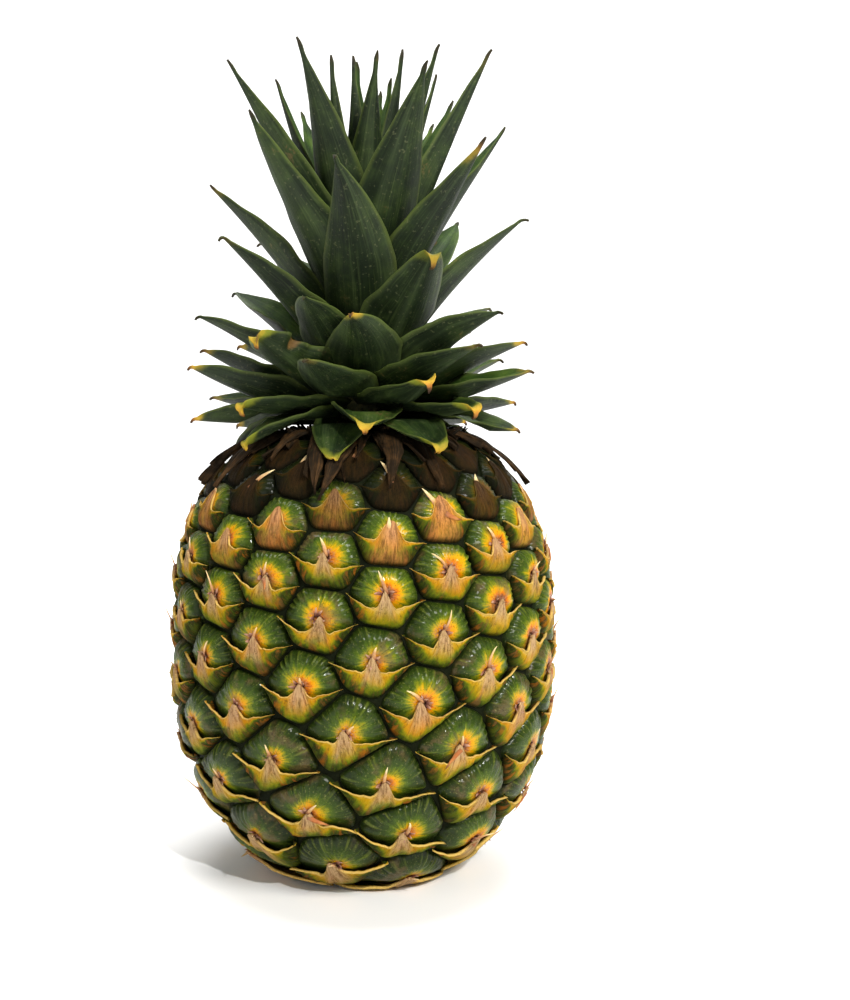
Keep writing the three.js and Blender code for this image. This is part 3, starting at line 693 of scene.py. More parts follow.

# %% [markdown]
# ## The colours of a bract
# The lip is a pale straw line, partly the dry edge's own colour and partly a painted highlight where its
# thin edge catches the light. The body is tan to golden with fine fibres that fan out from the column, and
# the lower edge goes green again, with painted shade darkening the very edge where it runs into the groove.
# Rust-coloured streaks follow the fibres, and the column is dry and pinkish grey. Bracts of the eyes under
# the crown are painted almost black as the shade of its leaves. The fibres are noise that is stretched
# along the shell's own grid, so they fan out with it.

# %% Finish of the bracts
def bract_finish():
    material, tree, shader = new_finish("bract_fibre", Specular_IOR_Level=0.04)
    fibre = mark(tree, "fibre", "Vector")
    across, low = mark(tree, "across"), mark(tree, "down")
    fine = noise(tree, fibre, 24.0, 6.0, 0.8)
    broad = noise(tree, fibre, 7.0, 4.0, 0.6)
    position = place_here(tree)
    patches = noise(tree, position, 190.0, 4.0, 0.6)
    grit = noise(tree, position, 1500.0, 3.0)
    shift = centred(tree, broad, 0.75)
    mottle = centred(tree, patches, 0.85)
    side = calc(tree, "ABSOLUTE", across)
    under_lip = between(tree, low, 0.02, 0.3)
    wing_green = times(tree, times(tree, between(tree, side, 0.14, 0.85), under_lip), 0.74)
    golden_middle = times(tree, between(tree, side, 0.36, 0.0), -0.22)
    wing_green = plus(tree, wing_green, golden_middle)
    value = plus(tree, plus(tree, low, shift), plus(tree, wing_green, mottle))
    value = plus(tree, value, times(tree, calc(tree, "SUBTRACT", 0.46, mark(tree, "ripe")), 0.7))
    colour = ramp(tree, value, [
        (0.0, screen(186, 152, 70)),
        (0.10, screen(184, 146, 40)),
        (0.26, screen(176, 134, 16)),
        (0.42, screen(154, 128, 11)),
        (0.57, screen(110, 114, 14)),
        (0.70, screen(62, 76, 14)),
        (0.95, screen(34, 44, 12)),
    ])
    warm = times(tree, between(tree, mark(tree, "tone"), 0.45, 0.95), between(tree, value, 0.55, 0.3))
    colour = stain(tree, colour, warm, 0.38, screen(184, 100, 10))
    streak = times(tree, between(tree, broad, 0.5, 0.64), between(tree, low, 0.04, 0.3))
    rust = blend(tree, between(tree, patches, 0.4, 0.6), screen(188, 102, 20), screen(122, 84, 44))
    colour = stain(tree, colour, streak, 0.45, rust)
    moss = times(tree, between(tree, broad, 0.5, 0.38), between(tree, low, 0.06, 0.5))
    colour = stain(tree, colour, moss, 0.5, screen(84, 92, 16))
    colour = stain(tree, colour, between(tree, fine, 0.51, 0.66), 0.72, screen(86, 60, 22))
    pale_fibre = times(tree, between(tree, fine, 0.46, 0.32), between(tree, value, 0.5, 0.3))
    colour = stain(tree, colour, pale_fibre, 0.42, screen(198, 162, 74))
    near_column = times(tree, between(tree, side, 0.24, 0.05), between(tree, low, 0.8, 0.2))
    column_colour = blend(tree, between(tree, fine, 0.42, 0.62), screen(180, 148, 114), screen(112, 80, 62))
    colour = stain(tree, colour, near_column, 0.78, column_colour)
    triangle = times(tree, mark(tree, "flag"), between(tree, side, 0.5, 0.15))
    flag_colour = blend(tree, between(tree, fine, 0.38, 0.62), screen(206, 132, 70), screen(112, 66, 38))
    colour = stain(tree, colour, triangle, 0.7, flag_colour)
    # Partly painted highlight: a pale straw line along the lip, the dry edge's own colour brightened as the
    # light on its thin edge.
    lip_edge_highlight = times(tree, between(tree, low, 0.055, 0.015), between(tree, side, 0.1, 0.2))
    colour = stain(tree, colour, lip_edge_highlight, 0.62, screen(228, 192, 108))
    dirt = times(tree, between(tree, grit, 0.56, 0.68), between(tree, patches, 0.42, 0.6))
    colour = stain(tree, colour, dirt, 0.55, screen(62, 46, 26))
    # Painted shade: the lower edge of each bract, where it runs into the groove, is darkened almost to
    # black.
    colour = stain(tree, colour, between(tree, low, 0.86, 1.0), 0.8, screen(24, 31, 11))
    # Painted shade: the bracts of the eyes under the crown are darkened almost to black.
    colour = stain(tree, colour, mark(tree, "shade"), 0.95, screen(13, 13, 6))
    wear(tree, shader, colour, plus(tree, 0.5, times(tree, fine, 0.3)), fine, 0.6)
    return material


bract_skin = bract_finish()
for name, chosen in (("lower_bracts", lower_half), ("upper_bracts", ~lower_half)):
    piece_of_eyes(name, chosen, bract_points, [bract_faces], bract_marks, bract_skin)

# %% [markdown]
# ## Dry tips in the middle of the eyes
# About three quarters of the bracts end in a thin dry point that stands up out of the column, and
# nearly all do on the shoulder. The flower leaves a ring of shrivelled brown shreds round the centre,
# and on about a quarter of the eyes a dried flap has folded over and lies across the bract. Each of
# these is a narrow curved blade that bends and leans by its own chance values, so one function makes
# them all.

# %% Blades that lie over an eye
def eye_blades(chosen, root_u, root_v, heading, length, half_width, low, high, bend, rows=8, columns=5):
    """Thin blades on the chosen eyes, from a root, in a heading from straight up, between two heights."""
    t = np.linspace(0, 1, rows)[None, :, None]
    c = np.linspace(-1, 1, columns)[None, None, :]
    values = (root_u, root_v, heading, length, half_width, low, high, bend)
    values = [(v + 0.0 * eye)[:, None, None] for v in values]
    root_u, root_v, heading, length, half_width, low, high, bend = values
    course = heading + bend * t
    middle_u = root_u + length * t * np.sin(heading + bend * t / 2)
    middle_v = root_v + length * t * np.cos(heading + bend * t / 2)
    half = half_width * (1 - t) ** 0.75 * (0.85 + 0.3 * t) + 0.08
    height = low + (high - low) * t**1.1 - 0.55 * half * np.abs(c) ** 1.5
    u = middle_u + c * half * np.cos(course)
    v = middle_v - c * half * np.sin(course)
    thick = 0.42 * (1 - 0.6 * t) * (1 - 0.75 * np.abs(c))
    upper, under = eye_point(u, v, height + thick / 2), eye_point(u, v, height - thick / 2)
    return upper[chosen], under[chosen], np.broadcast_to(t, u.shape)[chosen]


# %% Sizes of the dry tips
shoulder = ease(eye_s, SKIN_LENGTH - 48, SKIN_LENGTH - 26)
stub = draw(eye, 51) < 0.3
tall = eye_blades(
    chosen=draw(eye, 68) < 0.74 + 0.2 * shoulder,
    root_u=0.5 * spread(eye, 56),
    root_v=0.2,
    heading=0.6 * spread(eye, 54),
    length=np.where(stub, 2.0, 4.2) + 2.8 * draw(eye, 52) + 2.5 * shoulder,
    half_width=0.4 + 0.25 * draw(eye, 53) + 0.8 * shoulder,
    low=3.7,
    high=4.8 + 2.2 * draw(eye, 55) * (1 - shoulder),
    bend=0.8 * spread(eye, 57),
)
fallen = eye_blades(
    chosen=(draw(eye, 69) < 0.26) & (eye_painted_shade < 0.4),
    root_u=0.5 * spread(eye, 64),
    root_v=-0.2,
    heading=np.where(draw(eye, 70) < 0.7, 2.3, -2.3) + 0.5 * spread(eye, 65),
    length=3.2 + 4.0 * draw(eye, 66),
    half_width=0.55 + 0.6 * draw(eye, 59),
    low=4.7,
    high=4.3,
    bend=0.7 * spread(eye, 67),
)
shreds = []
for n in range(8):
    direction = math.pi * n / 4 + 0.5 * spread(eye, 90 + n)
    shreds.append(eye_blades(
        chosen=(draw(eye, 100 + n) < 0.8) & (flag[:, 0] < 0.35),
        root_u=0.7 * np.sin(direction),
        root_v=0.1 + 0.6 * np.cos(direction),
        heading=direction,
        length=0.9 + 1.7 * draw(eye, 110 + n) ** 2,
        half_width=0.42 + 0.34 * draw(eye, 120 + n),
        low=3.35,
        high=3.8 + 0.8 * draw(eye, 130 + n),
        bend=0.9 * spread(eye, 140 + n),
        rows=5,
        columns=4,
    ))


# %% Finish of the dry tips
def tip_finish(name, colours):
    material, tree, shader = new_finish(name, Specular_IOR_Level=0.1)
    position = place_here(tree)
    patches = noise(tree, position, 420.0, 4.0)
    value = plus(tree, mark(tree, "along"), centred(tree, patches, 1.2))
    stops = [(n / (len(colours) - 1), screen(*colour)) for n, colour in enumerate(colours)]
    colour = ramp(tree, value, stops)
    wear(tree, shader, colour, plus(tree, 0.5, times(tree, patches, 0.3)), patches, 0.25)
    return material


# %% Three pieces of dry tips
def blade_piece(name, blades, finish):
    """One piece out of several sets of blades with the same grid."""
    upper, under, t = [np.concatenate([blade[n] for blade in blades]) for n in range(3)]
    points, quads = closed_grids(upper, under)
    piece = make_piece(name, points, [facing_out(points, quads)], {"along": both_sides(t)}, finish)
    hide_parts("fruit")


thorn_skin = tip_finish("dry_thorn", [(128, 84, 56), (176, 128, 84), (206, 172, 122), (222, 200, 150)])
flap_skin = tip_finish("dry_flap", [(140, 98, 70), (156, 92, 50), (170, 112, 62), (104, 66, 40)])
shred_skin = tip_finish("dry_shred", [(74, 42, 34), (110, 68, 52), (150, 110, 88), (176, 140, 112)])
blade_piece("dry_thorns", [tall], thorn_skin)
blade_piece("dry_flaps", [fallen], flap_skin)
blade_piece("flower_shreds", shreds, shred_skin)

# %% [markdown]
# ## The crown's leaves
# The crown is a short stem packed with stiff leaves in the same kind of spiral. The lowest are short
# and curl down, the middle ones are broad and arch out, and the inner ones stand straight. Each is a
# shallow channel with a thick middle and thin margins. A sheet with a solidify modifier would be
# equally thick everywhere, so both faces of a leaf are worked out here, with the CAD model's own rule
# for its midline and many more sections.

# %% Sizes of the leaves, from the lowest to the innermost
LEAF_COUNT, LEAF_TURN, LEAF_FIRST_TURN, LEAF_SEED = 69, 137.508, 340, 3035
LEAF_ROOT_HEIGHT = [145.4, 147.5, 153.7, 188.2, 190.1]
LEAF_ROOT_RADIUS = [15, 14, 12, 9, 3]
LEAF_LENGTH = [38, 45, 54, 81, 73]
LEAF_WIDTH = [20, 23, 25, 25, 15]
LEAF_TAPER = [0.65, 0.65, 0.7, 1, 1.05]
LEAF_START_ELEVATION = [-18, 9.5, 49.6, 63.6, 85]
LEAF_END_ELEVATION = [-20, 25.4, 23.6, 58, 90]
LEAF_CHANNEL, LEAF_THICKNESS, LEAF_TIP_THICKNESS = 0.3, 1.5, 0.7
LEAF_TURN_SPREAD, LEAF_LENGTH_SPREAD, LEAF_ELEVATION_SPREAD = 11.5, 0.067, 4.5
LEAF_SWING_SPREAD, LEAF_TWIST_SPREAD = 25.4, 22
CLEAR_OF_SPINES, STACKING = 2.6, 0.45
LEAF_SECTIONS, LEAF_COLUMNS = 46, 13

leaf = np.arange(LEAF_COUNT)
age = leaf / (LEAF_COUNT - 1)
turn = LEAF_FIRST_TURN + LEAF_TURN * leaf + LEAF_TURN_SPREAD * spread(leaf, LEAF_SEED)
leaf_length = along(LEAF_LENGTH, age) * (1 + LEAF_LENGTH_SPREAD * spread(leaf, LEAF_SEED + 1))
lean = LEAF_ELEVATION_SPREAD * spread(leaf, LEAF_SEED + 2)
swing = LEAF_SWING_SPREAD * spread(leaf, LEAF_SEED + 3)
twist = LEAF_TWIST_SPREAD * spread(leaf, LEAF_SEED + 4)
start = along(LEAF_START_ELEVATION, age) + lean / 3
finish = along(LEAF_END_ELEVATION, age) + lean
print(f"{LEAF_COUNT} leaves, {leaf_length.min():.0f} to {leaf_length.max():.0f} mm long")

# %% [markdown]
# ## Midlines and the small hooked points
# A leaf of this crown doesn't end in a plain point. The blade rounds off and a thin, dry spine a few
# millimetres long goes on from it, hooked down on the lower leaves. On many low leaves at the front
# and the back the whole tip has folded over outwards and shows its yellow inner face. The leaves at
# the sides keep their thin points in the outline. The last share of each midline is the spine, which
# is narrow and turns by its own angle, and the fold bends the share before it.

# %% Midlines
FOLD_PLACE, FOLD_SPAN = 0.86, 0.07
LAST_HOOKED_AGE, LAST_FOLDED_AGE = 0.62, 0.6

hooked = age < LAST_HOOKED_AGE
point_share = np.where(hooked, 0.06, 0.03)[:, None]
fine_t = 1 - (1 - np.linspace(0, 1, LEAF_SECTIONS)) ** 1.25
t = fine_t[None, :]
middle_t = (t[:, 1:] + t[:, :-1]) / 2
front_or_back = np.abs(np.cos(np.radians(turn))) > 0.7
fold_chance = np.where(front_or_back, np.where(age < 0.25, 0.85, 0.5), 0)
folds = (age < LAST_FOLDED_AGE) & (draw(leaf, 78) < fold_chance)
folded = np.where(folds, -(90 + 45 * draw(leaf, 80)), 0)
hook = np.where(hooked, -60 - 55 * draw(leaf, 71), 16 * spread(leaf, 72))
hook_side = np.where(hooked, 50, 12) * spread(leaf, 73)


def past_blade(t):
    """0 on the blade and up to 1 along the dry point."""
    return np.clip((t - (1 - point_share)) / point_share, 0, 1)


def heading_at(t):
    """The bearing and the elevation of each leaf's midline, in radians."""
    bearing = turn[:, None] + swing[:, None] * t**2 + hook_side[:, None] * past_blade(t)
    fold = folded[:, None] * ease(t, FOLD_PLACE, FOLD_PLACE + FOLD_SPAN)
    elevation = start[:, None] + (finish - start)[:, None] * t + fold + hook[:, None] * past_blade(t)
    return np.radians(bearing), np.radians(elevation)


def unit(bearing, elevation):
    """The direction of a bearing from -Y towards +X and an elevation above level."""
    level = np.cos(elevation)
    return triple(level * np.sin(bearing), -level * np.cos(bearing), np.sin(elevation))


strides = unit(*heading_at(middle_t)) * (leaf_length[:, None] * np.diff(t))[..., None]
root = unit(np.radians(turn), 0 * turn) * along(LEAF_ROOT_RADIUS, age)[:, None]
root[:, 2] = along(LEAF_ROOT_HEIGHT, age)
midline = root[:, None] + np.concatenate([np.zeros((LEAF_COUNT, 1, 3)), np.cumsum(strides, axis=1)], axis=1)

# %% Widths, channel and margins
def rotated(vectors, axes, angles):
    """Vectors turned about unit axes."""
    cosine, sine = np.cos(angles)[..., None], np.sin(angles)[..., None]
    dots = (vectors * axes).sum(axis=-1, keepdims=True)
    return vectors * cosine + np.cross(axes, vectors) * sine + axes * dots * (1 - cosine)


bearing, elevation = heading_at(t)
forward = unit(bearing, elevation)
across = rotated(unit(bearing + math.pi / 2, 0 * bearing), forward, np.radians(twist)[:, None] * t)
upward = np.cross(forward, across)

blade_t = np.clip(t / (1 - point_share), 0, 1)
taper = along(LEAF_TAPER, age)[:, None]
outline = (1 - blade_t) ** taper * (0.8 + 1.15 * np.minimum(blade_t, 0.45) + 0.45 * blade_t)
half_width = along(LEAF_WIDTH, age)[:, None] / 2
point_half = 0.7 * (1 - past_blade(t)) + 0.16
half = np.maximum(half_width * outline, point_half)
column = np.linspace(-1, 1, LEAF_COLUMNS)[None, None, :]
leaf_number = leaf[:, None, None]
along_leaf = t[..., None]
TORN_LEAVES = [26, 43]
wave_count = 9 + 5 * draw(leaf_number, 74)
wave = 0.05 * np.sin(along_leaf * wave_count + 6 * draw(leaf_number, 75) + 1.3 * column)
wave += 0.02 * np.sin(along_leaf * 31 + 6 * draw(leaf_number, 76) + 2.1 * column)
channel = 2 * LEAF_CHANNEL * (1 - 0.4 * along_leaf) * np.abs(column) ** 1.6
rise = half[..., None] * (channel + wave * np.abs(column) ** 2)
thick = LEAF_THICKNESS + (LEAF_TIP_THICKNESS - LEAF_THICKNESS) * along_leaf
thick = thick * (1 - 0.8 * np.abs(column) ** 3)
torn = np.isin(leaf, TORN_LEAVES)[:, None, None]
bite = 0.22 + 0.14 * np.sin(along_leaf * 21 + leaf_number) + 0.1 * np.sin(along_leaf * 47 + 2 * leaf_number)
bite = torn * bite * ease(along_leaf, 0.4, 0.52)
bite = bite * (1 - ease(along_leaf, 0.9, 1.0)) * ease(column, -0.1, 1.0)
spot = midline[:, :, None] + across[:, :, None] * (column * (1 - bite) * half[..., None])[..., None]
leaf_upper = spot + upward[:, :, None] * rise[..., None]
leaf_lower = spot + upward[:, :, None] * (rise - thick)[..., None]


# %% [markdown]
# ## Keeping the low leaves off the fruit
# The lowest leaves would cut through the shoulder, where the dry collar lies. Each point of a leaf
# that is too near is pushed straight out from the skin until it clears the collar, as the CAD model
# does. The nearest place on the skin is searched for in the profile.

# %% Push the leaves clear of the shoulder
def lift_clear(points, margin):
    """Points of leaves, moved out until they clear the shoulder of the fruit by a margin."""
    flat = points.reshape(-1, 3).copy()
    margin = np.broadcast_to(margin + STACKING * leaf_number, points.shape[:3]).reshape(-1)
    r = np.hypot(flat[:, 0], flat[:, 1])
    clear_of_skin = spine_tips(skin_s) + CLEAR_OF_SPINES
    inner = r <= skin_r[-1]
    flat[inner, 2] = np.maximum(flat[inner, 2], FRUIT_TOP + clear_of_skin[-1] + margin[inner])
    near = np.flatnonzero(~inner & (flat[:, 2] < FRUIT_TOP + 40))
    row = np.argmin((r[near, None] - skin_r) ** 2 + (flat[near, 2][:, None] - skin_z) ** 2, axis=1)
    outside = (r[near] - skin_r[row]) * normal_r[row] + (flat[near, 2] - skin_z[row]) * normal_z[row]
    push = np.maximum(clear_of_skin[row] + margin[near] - outside, 0)
    flat[near, :2] *= (1 + push * normal_r[row] / r[near])[:, None]
    flat[near, 2] += push * normal_z[row]
    return flat.reshape(points.shape)


leaf_upper, leaf_lower = lift_clear(leaf_upper, thick), lift_clear(leaf_lower, 0.0)
print(f"The crown reaches {max(leaf_upper[..., 2].max(), leaf_lower[..., 2].max()):.1f} mm high")

# %% [markdown]
# ## The colours of a leaf
# The back of a leaf, which faces the viewer low on the crown, is grey-green under a waxy bloom. The
# inner face is a fresher green. Fine lines run the whole length, the margins are a little paler, and
# the points of the lower leaves are dried yellow and brown. The two faces are told apart by a mark,
# because both belong to one closed shell.

# %% Finish of the leaves
def leaf_finish():
    material, tree, shader = new_finish("crown_leaf", Specular_IOR_Level=0.16)
    line_place = mark(tree, "lines", "Vector")
    position = place_here(tree)
    lines = noise(tree, line_place, 40.0, 5.0, 0.65)
    mottle = noise(tree, position, 95.0, 5.0, 0.62)
    cloud = noise(tree, line_place, 4.0, 3.0)
    specks = noise(tree, position, 900.0, 3.0)
    length = mark(tree, "along")
    tint = plus(tree, times(tree, mottle, 0.65), times(tree, cloud, 0.35))
    back = ramp(tree, tint, [
        (0.36, screen(13, 22, 11)),
        (0.5, screen(26, 38, 17)),
        (0.64, screen(49, 64, 26)),
    ])
    front = ramp(tree, tint, [
        (0.36, screen(24, 42, 12)),
        (0.5, screen(44, 68, 18)),
        (0.66, screen(80, 104, 30)),
    ])
    colour = blend(tree, mark(tree, "inner_face"), back, front)
    colour = stain(tree, colour, between(tree, cloud, 0.48, 0.64), 0.22, screen(74, 86, 60))
    colour = stain(tree, colour, between(tree, lines, 0.5, 0.7), 0.2, screen(96, 112, 62))
    colour = stain(tree, colour, between(tree, lines, 0.5, 0.36), 0.3, screen(18, 28, 14))
    colour = stain(tree, colour, between(tree, specks, 0.6, 0.7), 0.25, screen(120, 122, 84))
    scar = times(tree, between(tree, mottle, 0.62, 0.7), between(tree, specks, 0.45, 0.6))
    colour = stain(tree, colour, scar, 0.5, screen(104, 82, 50))
    margin = between(tree, mark(tree, "margin"), 0.86, 1.0)
    colour = stain(tree, colour, margin, 0.3, screen(108, 122, 52))
    # Painted shade: each leaf is darkened towards its root, where the crowded leaves shade each other.
    root = between(tree, length, 0.35, 0.0)
    colour = stain(tree, colour, root, 0.55, screen(20, 26, 14))
    ragged = plus(tree, length, centred(tree, mottle, 0.2))
    on_margin = times(tree, mark(tree, "margin"), 0.05)
    on_fold = times(tree, mark(tree, "fold"), 0.06)
    dried = between(tree, plus(tree, plus(tree, ragged, on_margin), on_fold), 0.88, 0.96)
    dry = ramp(tree, ragged, [
        (0.86, screen(112, 118, 34)),
        (0.93, screen(190, 152, 46)),
        (0.97, screen(166, 108, 44)),
        (1.0, screen(84, 54, 32)),
    ])
    colour = blend(tree, times(tree, dried, mark(tree, "dryness")), colour, dry)
    torn_edge = between(tree, plus(tree, mark(tree, "bite"), times(tree, lines, 0.1)), 0.3, 0.42)
    torn_colour = blend(tree, specks, screen(134, 102, 52), screen(60, 40, 26))
    colour = stain(tree, colour, torn_edge, 0.9, torn_colour)
    dark_point = between(tree, length, 0.94, 0.985)
    colour = stain(tree, colour, dark_point, 0.75, screen(46, 34, 24))
    height = plus(tree, lines, times(tree, mottle, 0.6))
    wear(tree, shader, colour, plus(tree, 0.42, times(tree, mottle, 0.25)), height, 0.2)
    return material


leaf_points, leaf_quads = closed_grids(leaf_upper, leaf_lower)
grid_shape = leaf_upper.shape[:3]
leaf_dryness = np.clip(1.15 - 1.9 * age + 0.5 * spread(leaf, 77) + 0.8 * folds, 0, 1)
line_place = triple(column * 0.5, along_leaf * 0.08, leaf_number * 0.53)
size = grid_shape[1] * grid_shape[2]
inner_face = np.outer(0.3 + 0.7 * ease(age, 0.06, 0.24), np.append(np.ones(size), np.zeros(size))).ravel()
leaf_marks = {
    "along": both_sides(np.broadcast_to(along_leaf, grid_shape)),
    "margin": both_sides(np.broadcast_to(np.abs(column), grid_shape)),
    "dryness": both_sides(np.broadcast_to(leaf_dryness[:, None, None], grid_shape)),
    "lines": both_sides(line_place),
    "inner_face": inner_face,
    "bite": both_sides(np.broadcast_to(bite, grid_shape)),
    "fold": both_sides(np.broadcast_to(folds[:, None, None], grid_shape)),
}
leaf_faces = [facing_out(leaf_points, leaf_quads)]
crown_leaves = make_piece("crown_leaves", leaf_points, leaf_faces, leaf_marks, leaf_finish())
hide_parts("crown")

# %% [markdown]
# ## The stem inside the crown
# Between the leaves hides the short stem that carries them, ringed with the scars of leaf roots. It
# closes the view down into the crown. It is a turned profile, with shallow rings.

# %% The stem
STEM_RADII = [12, 12, 18, 17.5, 15, 11, 6, 0.4]
STEM_HEIGHTS = [140.3, 143.8, 148, 158, 172, 184, 192, 199]
STEM_SIDES, STEM_ROWS = 40, 60


def turned_piece(name, radii, heights, sides, finish, ripple=0.0):
    """A closed turned piece from radii and heights, lowest first, with an optional rippled wall."""
    angles = np.linspace(0, 2 * math.pi, sides, endpoint=False)[None, :]
    radii, heights = np.asarray(radii)[:, None], np.asarray(heights)[:, None]
    r = radii * (1 + ripple * np.sin(angles * 7 + heights * 0.8) * np.sin(angles * 3 - heights))
    points = round_axis(angles, r, heights).reshape(-1, 3)
    return make_piece(name, points, lathe_faces(len(radii), sides), {}, finish)


def stem_finish():
    material, tree, shader = new_finish("crown_stem", Specular_IOR_Level=0.3)
    position = place_here(tree)
    grain = noise(tree, position, 400.0, 4.0)
    colour = ramp(tree, grain, [
        (0.3, screen(40, 44, 24)),
        (0.55, screen(84, 84, 48)),
        (0.75, screen(128, 116, 72)),
    ])
    wear(tree, shader, colour, plus(tree, 0.55, times(tree, grain, 0.2)), grain, 0.4)
    return material


stem_heights = np.linspace(STEM_HEIGHTS[0], STEM_HEIGHTS[-1], STEM_ROWS)
stem_radii = np.interp(stem_heights, STEM_HEIGHTS, STEM_RADII)
crown_stem = turned_piece("crown_stem", stem_radii, stem_heights, STEM_SIDES, stem_finish(), ripple=0.02)
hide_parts("crown")

# %% [markdown]
# ## The dry collar
# Round the foot of the crown the oldest leaflets have dried and lie brown and curled over the
# shoulder. They follow the skin, so they are worked out in the skin's own turns and distances, with
# the CAD model's rule and finer sections, cupped and wavy like paper. The same function makes a second
# layer of smaller leaflets below them, which the CAD model leaves out.

# %% Leaflets of the collar
LEAFLET_SECTIONS, LEAFLET_COLUMNS = 26, 11
RING_INNER, RING_OUTER, RING_BOTTOM, RING_TOP = 12.5, 16, 140.3, 143.2

leaflet_root = (RING_INNER + RING_OUTER) / 2
rim_reach = skin_r[-1] - leaflet_root


def dry_leaflets(count, seed, width, shortest, longest, clear):
    """Points, quads and marks of leaflets that cross the fruit's flat top and lie down past its rim."""
    number = np.arange(count)[:, None, None]
    t = np.linspace(0, 1, LEAFLET_SECTIONS)[None, :, None]
    c = np.linspace(-1, 1, LEAFLET_COLUMNS)[None, None, :]
    frayed = 1 + 0.1 * np.sin(t * 27 + 6 * draw(number, 83) + 2 * np.sign(c))
    frayed = frayed + 0.07 * np.sin(t * 55 + 6 * draw(number, 84))
    half = np.maximum(width / 2 * (1 - t**1.7), 0.3) * frayed
    path = t * (rim_reach + shortest + (longest - shortest) * draw(number, seed + 1))
    s = SKIN_LENGTH - np.maximum(path - rim_reach, 0)
    radius = np.where(path < rim_reach, leaflet_root + path, np.interp(s, skin_s, skin_r))
    turn = 2 * math.pi * (number + 0.35 * spread(number, seed)) / count
    turn = turn + 0.16 * spread(number, seed + 2) * t**2
    bearing = turn + c * half / radius
    crease = 0.35 * np.sin(c * 5 + 6 * draw(number, 81) + 4 * t)
    crease += 0.3 * np.sin(t * 15 + 6 * draw(number, 82) + 2 * c)
    curl = 0.9 * spread(number, 85) * c * t + 0.8 * draw(number, 86) * c**2 * ease(t, 0.3, 0.8)
    lift = spine_tips(s) + clear + 0.4 * draw(number, seed + 3) * t
    height = lift - 0.5 * np.minimum(1, 4 * t) * np.abs(c) ** 1.5 + (crease + curl) * t
    on_skin = ease(path, rim_reach - 3, rim_reach + 3)
    faces = []
    for level in (height + 0.3, height - 0.3):
        r = radius + level * on_skin * np.interp(s, skin_s, normal_r)
        z = np.interp(s, skin_s, skin_z) + level * (1 - on_skin * (1 - np.interp(s, skin_s, normal_z)))
        faces.append(round_axis(bearing, r, z))
    fibres = triple(c * 0.5, t * 0.1, number * 0.47)
    marks = {"along": both_sides(np.broadcast_to(t, fibres.shape[:3])), "lines": both_sides(fibres)}
    return *closed_grids(*faces), marks


# %% Finish of the dry leaflets
def dry_leaf_finish():
    material, tree, shader = new_finish("dry_leaflet", Specular_IOR_Level=0.08)
    fibre = mark(tree, "lines", "Vector")
    lines = noise(tree, fibre, 22.0, 5.0, 0.65)
    position = place_here(tree)
    patches = noise(tree, position, 180.0, 3.0)
    value = plus(tree, times(tree, lines, 0.5), times(tree, patches, 0.5))
    colour = ramp(tree, value, [
        (0.34, screen(20, 16, 10)),
        (0.5, screen(38, 28, 16)),
        (0.62, screen(72, 50, 27)),
        (0.76, screen(128, 94, 52)),
    ])
    # Painted shade: the leaflets are darkened towards their roots, under the crown's leaves.
    colour = blend(tree, between(tree, mark(tree, "along"), 0.7, 0.1), colour, screen(20, 18, 10))
    wear(tree, shader, colour, plus(tree, 0.6, times(tree, lines, 0.2)), lines, 0.3)
    return material


# %% The leaflets, and the smaller ones below them
dry_skin = dry_leaf_finish()
leaflets = dry_leaflets(count=18, seed=5, width=11, shortest=8, longest=28, clear=1.25)
small_leaflets = dry_leaflets(count=44, seed=11, width=7, shortest=3, longest=24, clear=0.7)
for name, (points, quads, marks) in (("dry_collar", leaflets), ("dry_underlayer", small_leaflets)):
    piece = make_piece(name, points, [facing_out(points, quads)], marks, dry_skin)
    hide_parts("collar")

# %% The ring that the leaflets grow from
def hoop(inner, outer, bottom, top, sides):
    """Points and quads of a ring with a rounded wall."""
    angles = np.linspace(0, 2 * math.pi, sides, endpoint=False)[None, :]
    around_wall = np.linspace(0, 2 * math.pi, 12, endpoint=False)[:, None]
    ripple = 0.15 * np.sin(angles * 9 + around_wall)
    r = (inner + outer) / 2 + ((outer - inner) / 2 - 0.2 + ripple) * np.cos(around_wall)
    z = (top + bottom) / 2 + ((top - bottom) / 2 - 0.1) * np.sin(around_wall)
    points = round_axis(angles, r, z).reshape(-1, 3)
    index = np.arange(len(points)).reshape(12, sides)
    beside, above = np.roll(index, -1, axis=1), np.roll(index, -1, axis=0)
    return points, np.stack([index, beside, np.roll(above, -1, axis=1), above], axis=-1).reshape(-1, 4)


hoop_points, hoop_quads = hoop(RING_INNER, RING_OUTER, RING_BOTTOM, RING_TOP, 60)
# The ring's along mark is 0, so it takes the full painted shade of the dry leaflet finish.
hoop_marks = {"along": np.zeros(len(hoop_points)), "lines": hoop_points / 20}
hoop_faces = [facing_out(hoop_points, hoop_quads)]
collar_ring = make_piece("collar_ring", hoop_points, hoop_faces, hoop_marks, dry_skin)
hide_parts("collar")

# %% [markdown]
# ## Withered scales under the crown
# The last eyes of the flower head never swell. All that is left of them is a fringe of dark, dry scales
# round the flat top of the fruit, which all but closes the gap below the lowest leaves, and their feet are
# painted darker still as the shade under the crown. Each scale is a thin pointed blade that stands up and
# leans outwards, placed by the same turn as the eyes, and the inner ones are taller.

# %% The fringe of scales
SCALE_COUNT = 150

